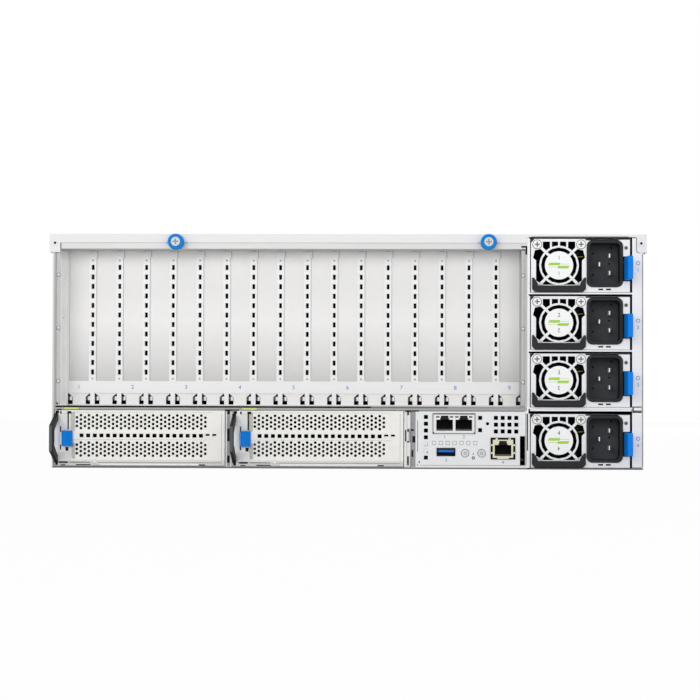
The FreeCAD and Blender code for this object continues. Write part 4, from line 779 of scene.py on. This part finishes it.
def riser(side, left):
    body = f"riser_{side}"
    plate_left, plate_right, shift, lower_rise = RISER_PLATES[side]
    base = left + shift
    perforated_blanks(body, left, lower_rise)
    pull = softened(f"{body}_handle", body, pull_lit_grey, 0.8)
    # Painted light and shade: faces toward the rear or toward -X take the lit grey, all others the shaded
    # black.
    pull.data.materials.append(fan_black)
    for polygon in pull.data.polygons:
        polygon.material_index = 0 if polygon.normal.y < -0.95 or polygon.normal.x < -0.5 else 1
    softened(f"{body}_latch", f"{body}_latch", latch_blue, 0.5)
    lower_shade = [(left + 12.4, 18.4), (left + 12.6, 8.6), (left + 14.0, 6.2), (left + 15.4, 6.2),
                   (left + 15.4, 18.4)]
    marks(f"{body}_bank_shade", body, BLANK_FACE, bank_shade_steel, "zinc_steel",
          rect(left + 11.9, left + 15.2, 27.4, 41.4), lower_shade)
    latch_column(body, left, base, plate_left, plate_right)
    # Painted shadow in the gaps; below, painted shade in the dark lines and the line beside the fold.
    marks(f"{body}_gaps", body, REAR, well, "inlet_black",
          rect(base + 9.7, base + 10.7, 28.4, 40.4), rect(base + 8.3, base + 10.5, 12.6, 15.4),
          rect(base + 4.1, base + 5.0, 26.6, 31.0), rect(base + 4.1, base + 5.0, 13.4, 17.2),
          rect(base + 4.1, base + 5.3, 40.2, 42.2), rect(base + 9.6, base + 12.4, 40.4, 42.2),
          rect(left + 0.5, left + 3.4, 40.6, 42.6), rect(left + 0.6, left + 2.7, 2.0, 4.6),
          rect(base + 3.4, base + 10.0, 3.5, 4.7), rect(base + 4.6, base + 8.2, 1.8, 2.5),
          rect(base + 16.4, base + 27.0, 1.9, 2.7), rect(left + 108.0, left + 112.6, 2.0, 2.8))
    marks(f"{body}_lines", body, REAR, joint_and_shade_grey, "dark_plastic",
          rect(base + 11.6, base + 27.0, 3.8, 4.4), rect(left + 28.0, left + 126.6, 1.75, 2.0))
    marks(f"{body}_fold", body, REAR, shade_steel, "zinc_steel",
          rect(left + 124.6, left + 124.9, 4.0, 41.0))
    marks(f"{body}_foot_edge", body, REAR, strip_steel, "zinc_steel",
          rect(base + 34.0, left + 107.8, 2.05, 3.2))
    # Painted shade: a line along the foot.
    marks(f"{body}_foot_line", body, REAR, gap_shade_steel, "zinc_steel",
          rect(base + 32.4, left + 124.4, 3.75, 4.25))
    cups = Solids()
    for across in (114.5, 119.5):
        cups.sheet(around(left + across, 23.4, 2.9, 1.3), REAR + 0.2, REAR + 0.9)
    cups.piece(f"{body}_half_slots", body, riser_steel, "zinc_steel")


# Connector panel

def port_frames():
    face = PORT_FACE
    # Painted shadow in the gaps round the sockets and along their edges, and painted shade on their rims.
    lan_outer, lan_inner = rect(63.8, 95.6, 26.2, 41.5), rect(64.2, 95.2, 26.6, 41.1)
    frame_round(lan_outer, lan_inner, face, REAR, "lan_gap", "chassis", joint_and_shade_grey, "inlet_black")
    frame_round(lan_inner, rect(64.6, 94.8, 26.9, 40.5), face - 0.1, face,
                "lan_shade", "chassis", shade_steel, "dark_plastic")
    marks("lan_edges", "chassis", face - 0.1, well, "inlet_black", rect(64.2, 95.2, 40.7, 41.3),
          around(64.6, 27.0, 0.9, 0.9), around(94.8, 27.0, 0.9, 0.9))
    outer, inner = rect(106.9, 125.2, 7.4, 23.5), rect(107.6, 124.5, 8.0, 22.9)
    frame_round(outer, inner, face, REAR, "management_gap", "chassis", well, "inlet_black")
    frame_round(inner, rect(108.5, 123.6, 8.6, 22.0), face - 0.1, face,
                "management_shade", "chassis", well, "inlet_black")
    springs = [around(x, z, 1.5, 1.3) for x in (107.9, 124.2) for z in (12.1, 18.0)]
    springs += [around(x, 22.6, 1.7, 1.2) for x in (111.4, 121.0)]
    springs.append(around(116.1, 8.2, 8.6, 1.0))
    marks("management_springs", "chassis", face - 0.1, cream, "port_metal", *springs, depth=0.15)


def port_insides():
    """Sill, eight contacts and keyway of each network socket, the keyway painted black as shadow, and lamps
    over the upper pair.
    """
    face = PORT_FACE
    contact_count, contact_pitch, half_socket = 8, 1.02, 6.15
    contacts, grey_blocks, lamps, tabs = Solids(), Solids(), Solids(), Solids()
    upper_low, lower_low = 28.5, 9.9
    for left, low in ((66.6, upper_low), (80.8, upper_low), (109.9, lower_low)):
        middle, shoulder = left + half_socket, low + 8.3
        grey_blocks.block(left + 0.1, left + 12.2, REAR + 0.4, REAR + 3.0, low + 0.05, low + 1.3)
        for step in range(contact_count):
            x = middle + contact_pitch * (step - (contact_count - 1) / 2)
            contacts.block(x - 0.24, x + 0.24, REAR + 3.0, REAR + 11.0, low + 0.6, low + 1.0)
        # Painted shadow: the dark of the keyway, as a flat black plate.
        tabs.sheet([(middle - 3.7, shoulder), (middle + 3.7, shoulder), (middle + 2.5, shoulder + 2.2),
                    (middle - 2.5, shoulder + 2.2)], face - 0.05, face)
        if low == upper_low:
            for x in (left + 1.05, left + 11.2):
                lamps.sheet(round_rect(x - 1.3, x + 1.3, low + 9.7, low + 10.9, 0.3, 3), face - 0.1, face)
    contacts.piece("port_contacts", "chassis", gold, "bright_metal")
    grey_blocks.piece("port_sills", "chassis", dark_grey_and_shade, "dark_plastic")
    lamps.piece("port_lamps", "chassis", bay_shade_and_lamp_grey, "dark_plastic")
    tabs.piece("port_tabs", "chassis", fan_black, "inlet_black")


def panel_details():
    pin_x, pin_z = 94.1, 8.4
    frame_round(circle(pin_x, pin_z, 1.2), circle(pin_x, pin_z, 0.5), REAR - 0.05, REAR,
                "pinhole", "chassis", dark_grey_and_shade, "dark_plastic")
    marks("pinhole_dot", "chassis", REAR, dark_grey_and_shade, "dark_plastic", circle(pin_x, pin_z + 3.0, 0.5, 12))
    caps = Solids()
    cap_face = REAR + 0.1
    for z in (18.6, 13.5):
        caps.sheet(around(58.9, z, 2.9, 2.9), cap_face, cap_face + 1.0)
    caps.piece("io_caps", "chassis", panel_steel, "zinc_steel", bevel=0.15)
    # Painted shade along the caps' edges and painted shadow in the gap below them.
    marks("io_cap_edges", "chassis", cap_face, shade_steel, "zinc_steel",
          rect(60.0, 60.3, 17.2, 20.0), rect(57.5, 60.0, 17.15, 17.45))
    marks("io_cap_gap", "chassis", cap_face, well, "inlet_black",
          [(59.2, 12.1), (60.3, 12.1), (60.3, 13.3)])
    # Painted shade: a line at the panel's lower fold and a line along its top; painted shadow in its corner
    # gaps.
    marks("panel_fold", "chassis", REAR, gap_shade_steel, "zinc_steel", rect(54.4, 132.4, 2.6, 3.0))
    marks("panel_top_line", "chassis", REAR, joint_and_shade_grey, "dark_plastic", rect(53.6, 132.3, 42.8, 43.5))
    marks("panel_corner_gaps", "chassis", REAR, well, "inlet_black",
          rect(53.7, 54.4, 4.4, 6.0), rect(52.45, 53.0, 2.6, 3.6))
    # Painted shade: a shadowed outline round each of the small squares.
    square_shades = Solids()
    for step in range(7):
        x, z = 64.9 + 5.1 * step, 19.4
        square_shades.sheet(around(x, z, 3.1, 3.1), REAR - 0.04, REAR, [around(x, z, 2.1, 2.1)])
    square_shades.piece("io_square_shades", "chassis", shade_steel, "zinc_steel")
    marks("usb_tongue", "chassis", PORT_FACE, usb_light, "usb_blue",
          rect(68.2, 79.6, 12.6, 14.2), depth=0.1)
    frame_round(rect(67.0, 80.6, 9.8, 15.6), rect(67.6, 80.0, 10.4, 14.8), PORT_FACE - 0.2, PORT_FACE,
                "usb_shell", "chassis", fan_black, "usb_blue")
    button_z, cap_end = 11.9, REAR - 1.6
    for name, x in (("power_button", 88.0), ("id_button", 100.2)):
        softened(name, name, cap_white, 0.35)
        frame_round(circle(x, button_z, 1.0), circle(x, button_z, 0.7), cap_end - 0.04, cap_end,
                    f"{name}_mark", name, dark_grey_and_shade, "dark_plastic")
        # Painted shade: a dark ring round the button.
        frame_round(circle(x, button_z, 3.05), circle(x, button_z, 2.75), REAR - 0.05, REAR,
                    f"{name}_ring", "chassis", dark_grey_and_shade, "dark_plastic")
    for text, x, z in (("1", 72.8, 23.9), ("2", 87.0, 23.9), ("3", 73.9, 6.6), ("4", 116.1, 5.2)):
        digit(text, f"io_digit_{text}", "chassis", x, z, REAR, 2.4, ink_blue)


# Fasteners on the outside, and the front

def outside_details():
    cover_screws, body_screws, rivets = Solids(), Solids(), Solids()
    flat_head = [(0, 0), (3.0, 0), (2.7, 0.5), (1.4, 0.6), (1.2, 0.25), (0, 0.25)]
    rivet_head = [(0, 0), (2.4, 0), (2.1, 0.5), (1.2, 0.9), (0, 1.0)]
    hem, wall, screw_level = 222.4, 220.0, 168.0
    for side in (-1, 1):
        outward = (side, 0, 0)
        for y in (-330.0, -120.0, 90.0):
            cover_screws.turned((side * hem, y, screw_level), outward, flat_head)
        for y in (200.0, 340.0):
            body_screws.turned((side * hem, y, screw_level), outward, flat_head)
        for z in (30.0, 90.0, 145.0):
            for y in (-388.0, 219.0):
                rivets.turned((side * wall, y, z), outward, rivet_head)
    cover_screws.piece("cover_side_screws", "top_cover", bright, "bright_metal")
    body_screws.piece("front_cover_screws", "chassis", bright, "bright_metal")
    rivets.piece("side_rivets", "chassis", rivet, "bright_metal")


def front_details():
    sieve = Solids().block(-215.0, 215.0, 394.0, 398.7, 5.0, 160.0)
    sieve.piece("intake_filter", "chassis", foam, "dark_plastic")
    mesh = Solids()
    uprights, levels, spacing, half_wire = 108, 39, 4.0, 0.4
    for step in range(uprights):
        x = -214.0 + spacing * step
        mesh.block(x - half_wire, x + half_wire, 398.0, 398.5, 6.0, 159.0)
    for step in range(levels):
        z = 6.5 + spacing * step
        mesh.block(-214.5, 214.5, 398.2, 398.7, z - half_wire, z + half_wire)
    mesh.piece("intake_mesh", "chassis", mesh_grey, "dark_plastic")
    for side in ("left", "right"):
        softened(f"rack_ear_{side}", "chassis", dark, 0.8)


# Studio

def studio():
    """An even light from all sides, with a background that is white wherever it is seen."""
    world = bpy.data.worlds.new("studio")
    bpy.context.scene.world = world
    world.use_nodes = True
    tree = world.node_tree
    tree.nodes.clear()
    light = tree.nodes.new("ShaderNodeBackground")
    light.inputs["Strength"].default_value = 0.42
    seen = tree.nodes.new("ShaderNodeBackground")
    path = tree.nodes.new("ShaderNodeLightPath")
    camera_or_glossy = tree.nodes.new("ShaderNodeMath")
    camera_or_glossy.operation = "MAXIMUM"
    any_seen = tree.nodes.new("ShaderNodeMath")
    any_seen.operation = "MAXIMUM"
    mix = tree.nodes.new("ShaderNodeMixShader")
    out = tree.nodes.new("ShaderNodeOutputWorld")
    for node in (light, seen):
        node.inputs["Color"].default_value = (1.0, 1.0, 1.0, 1.0)
    tree.links.new(path.outputs["Is Camera Ray"], camera_or_glossy.inputs[0])
    tree.links.new(path.outputs["Is Glossy Ray"], camera_or_glossy.inputs[1])
    tree.links.new(camera_or_glossy.outputs[0], any_seen.inputs[0])
    tree.links.new(path.outputs["Is Transmission Ray"], any_seen.inputs[1])
    tree.links.new(any_seen.outputs[0], mix.inputs["Fac"])
    tree.links.new(light.outputs[0], mix.inputs[1])
    tree.links.new(seen.outputs[0], mix.inputs[2])
    tree.links.new(mix.outputs[0], out.inputs["Surface"])


def floor():
    """A pale floor that looks nearly white to the camera and keeps the object's shadow."""
    glow_share = 0.96
    material = bpy.data.materials.new("studio_floor")
    material.use_nodes = True
    tree = material.node_tree
    shader = tree.nodes["Principled BSDF"]
    shader.inputs["Base Color"].default_value = (0.9, 0.9, 0.9, 1.0)
    shader.inputs["Roughness"].default_value = 0.8
    glow = tree.nodes.new("ShaderNodeEmission")
    path = tree.nodes.new("ShaderNodeLightPath")
    share = tree.nodes.new("ShaderNodeMath")
    share.operation = "MULTIPLY"
    share.inputs[1].default_value = glow_share
    mix = tree.nodes.new("ShaderNodeMixShader")
    out = tree.nodes["Material Output"]
    tree.links.new(path.outputs["Is Camera Ray"], share.inputs[0])
    tree.links.new(share.outputs[0], mix.inputs["Fac"])
    tree.links.new(shader.outputs[0], mix.inputs[1])
    tree.links.new(glow.outputs[0], mix.inputs[2])
    tree.links.new(mix.outputs[0], out.inputs["Surface"])
    bpy.ops.mesh.primitive_plane_add(size=12.0, location=(0, 0, -0.0003))
    plane = bpy.context.object
    plane.name = "floor"
    plane.data.materials.append(material)


def lamp(name, place, target, width, height, power):
    data = bpy.data.lights.new(name, "AREA")
    data.shape = "RECTANGLE"
    data.size = width
    data.size_y = height
    data.energy = power
    holder = bpy.data.objects.new(name, data)
    bpy.context.collection.objects.link(holder)
    holder.location = place
    holder.rotation_euler = (Vector(target) - Vector(place)).to_track_quat("-Z", "Y").to_euler()


def camera():
    """The photograph's view, fitted to the slot grid and the body's edges."""
    place = Vector((56.3, -2224.6, 46.0)) * MM
    yaw, pitch, roll = (math.radians(angle) for angle in (-1.695, 1.327, 0.18))
    forward = Vector((math.sin(yaw) * math.cos(pitch), math.cos(yaw) * math.cos(pitch), math.sin(pitch)))
    level = Vector((math.cos(yaw), -math.sin(yaw), 0.0))
    upright = level.cross(forward)
    right = level * math.cos(roll) + upright * math.sin(roll)
    up = upright * math.cos(roll) - level * math.sin(roll)
    data = bpy.data.cameras.new("camera")
    data.sensor_width = 36.0
    data.lens = 126.24
    data.clip_end = 50.0
    holder = bpy.data.objects.new("camera", data)
    bpy.context.collection.objects.link(holder)
    turn = Matrix((right, up, -forward)).transposed().to_4x4()
    holder.matrix_world = Matrix.Translation(place) @ turn
    bpy.context.scene.camera = holder


cover_details()
recess_details()
slot_details()
shelf_details()
cage_details()
divider_details()
supplies()
for riser_side, riser_left in RISERS.items():
    riser(riser_side, riser_left)
port_frames()
port_insides()
panel_details()
outside_details()
front_details()
studio()
floor()
rear_middle, front_middle = (0, -0.4, 0.09), (0, 0.4, 0.09)
lamp("key", (-0.8, -3.0, 0.75), rear_middle, width=1.8, height=1.1, power=19.5)
lamp("fill", (1.0, -3.0, 0.55), rear_middle, width=1.8, height=0.9, power=9.5)
lamp("front", (0.7, 3.4, 1.1), front_middle, width=1.8, height=1.1, power=20.0)
camera()
bpy.context.scene.view_settings.view_transform = "Standard"
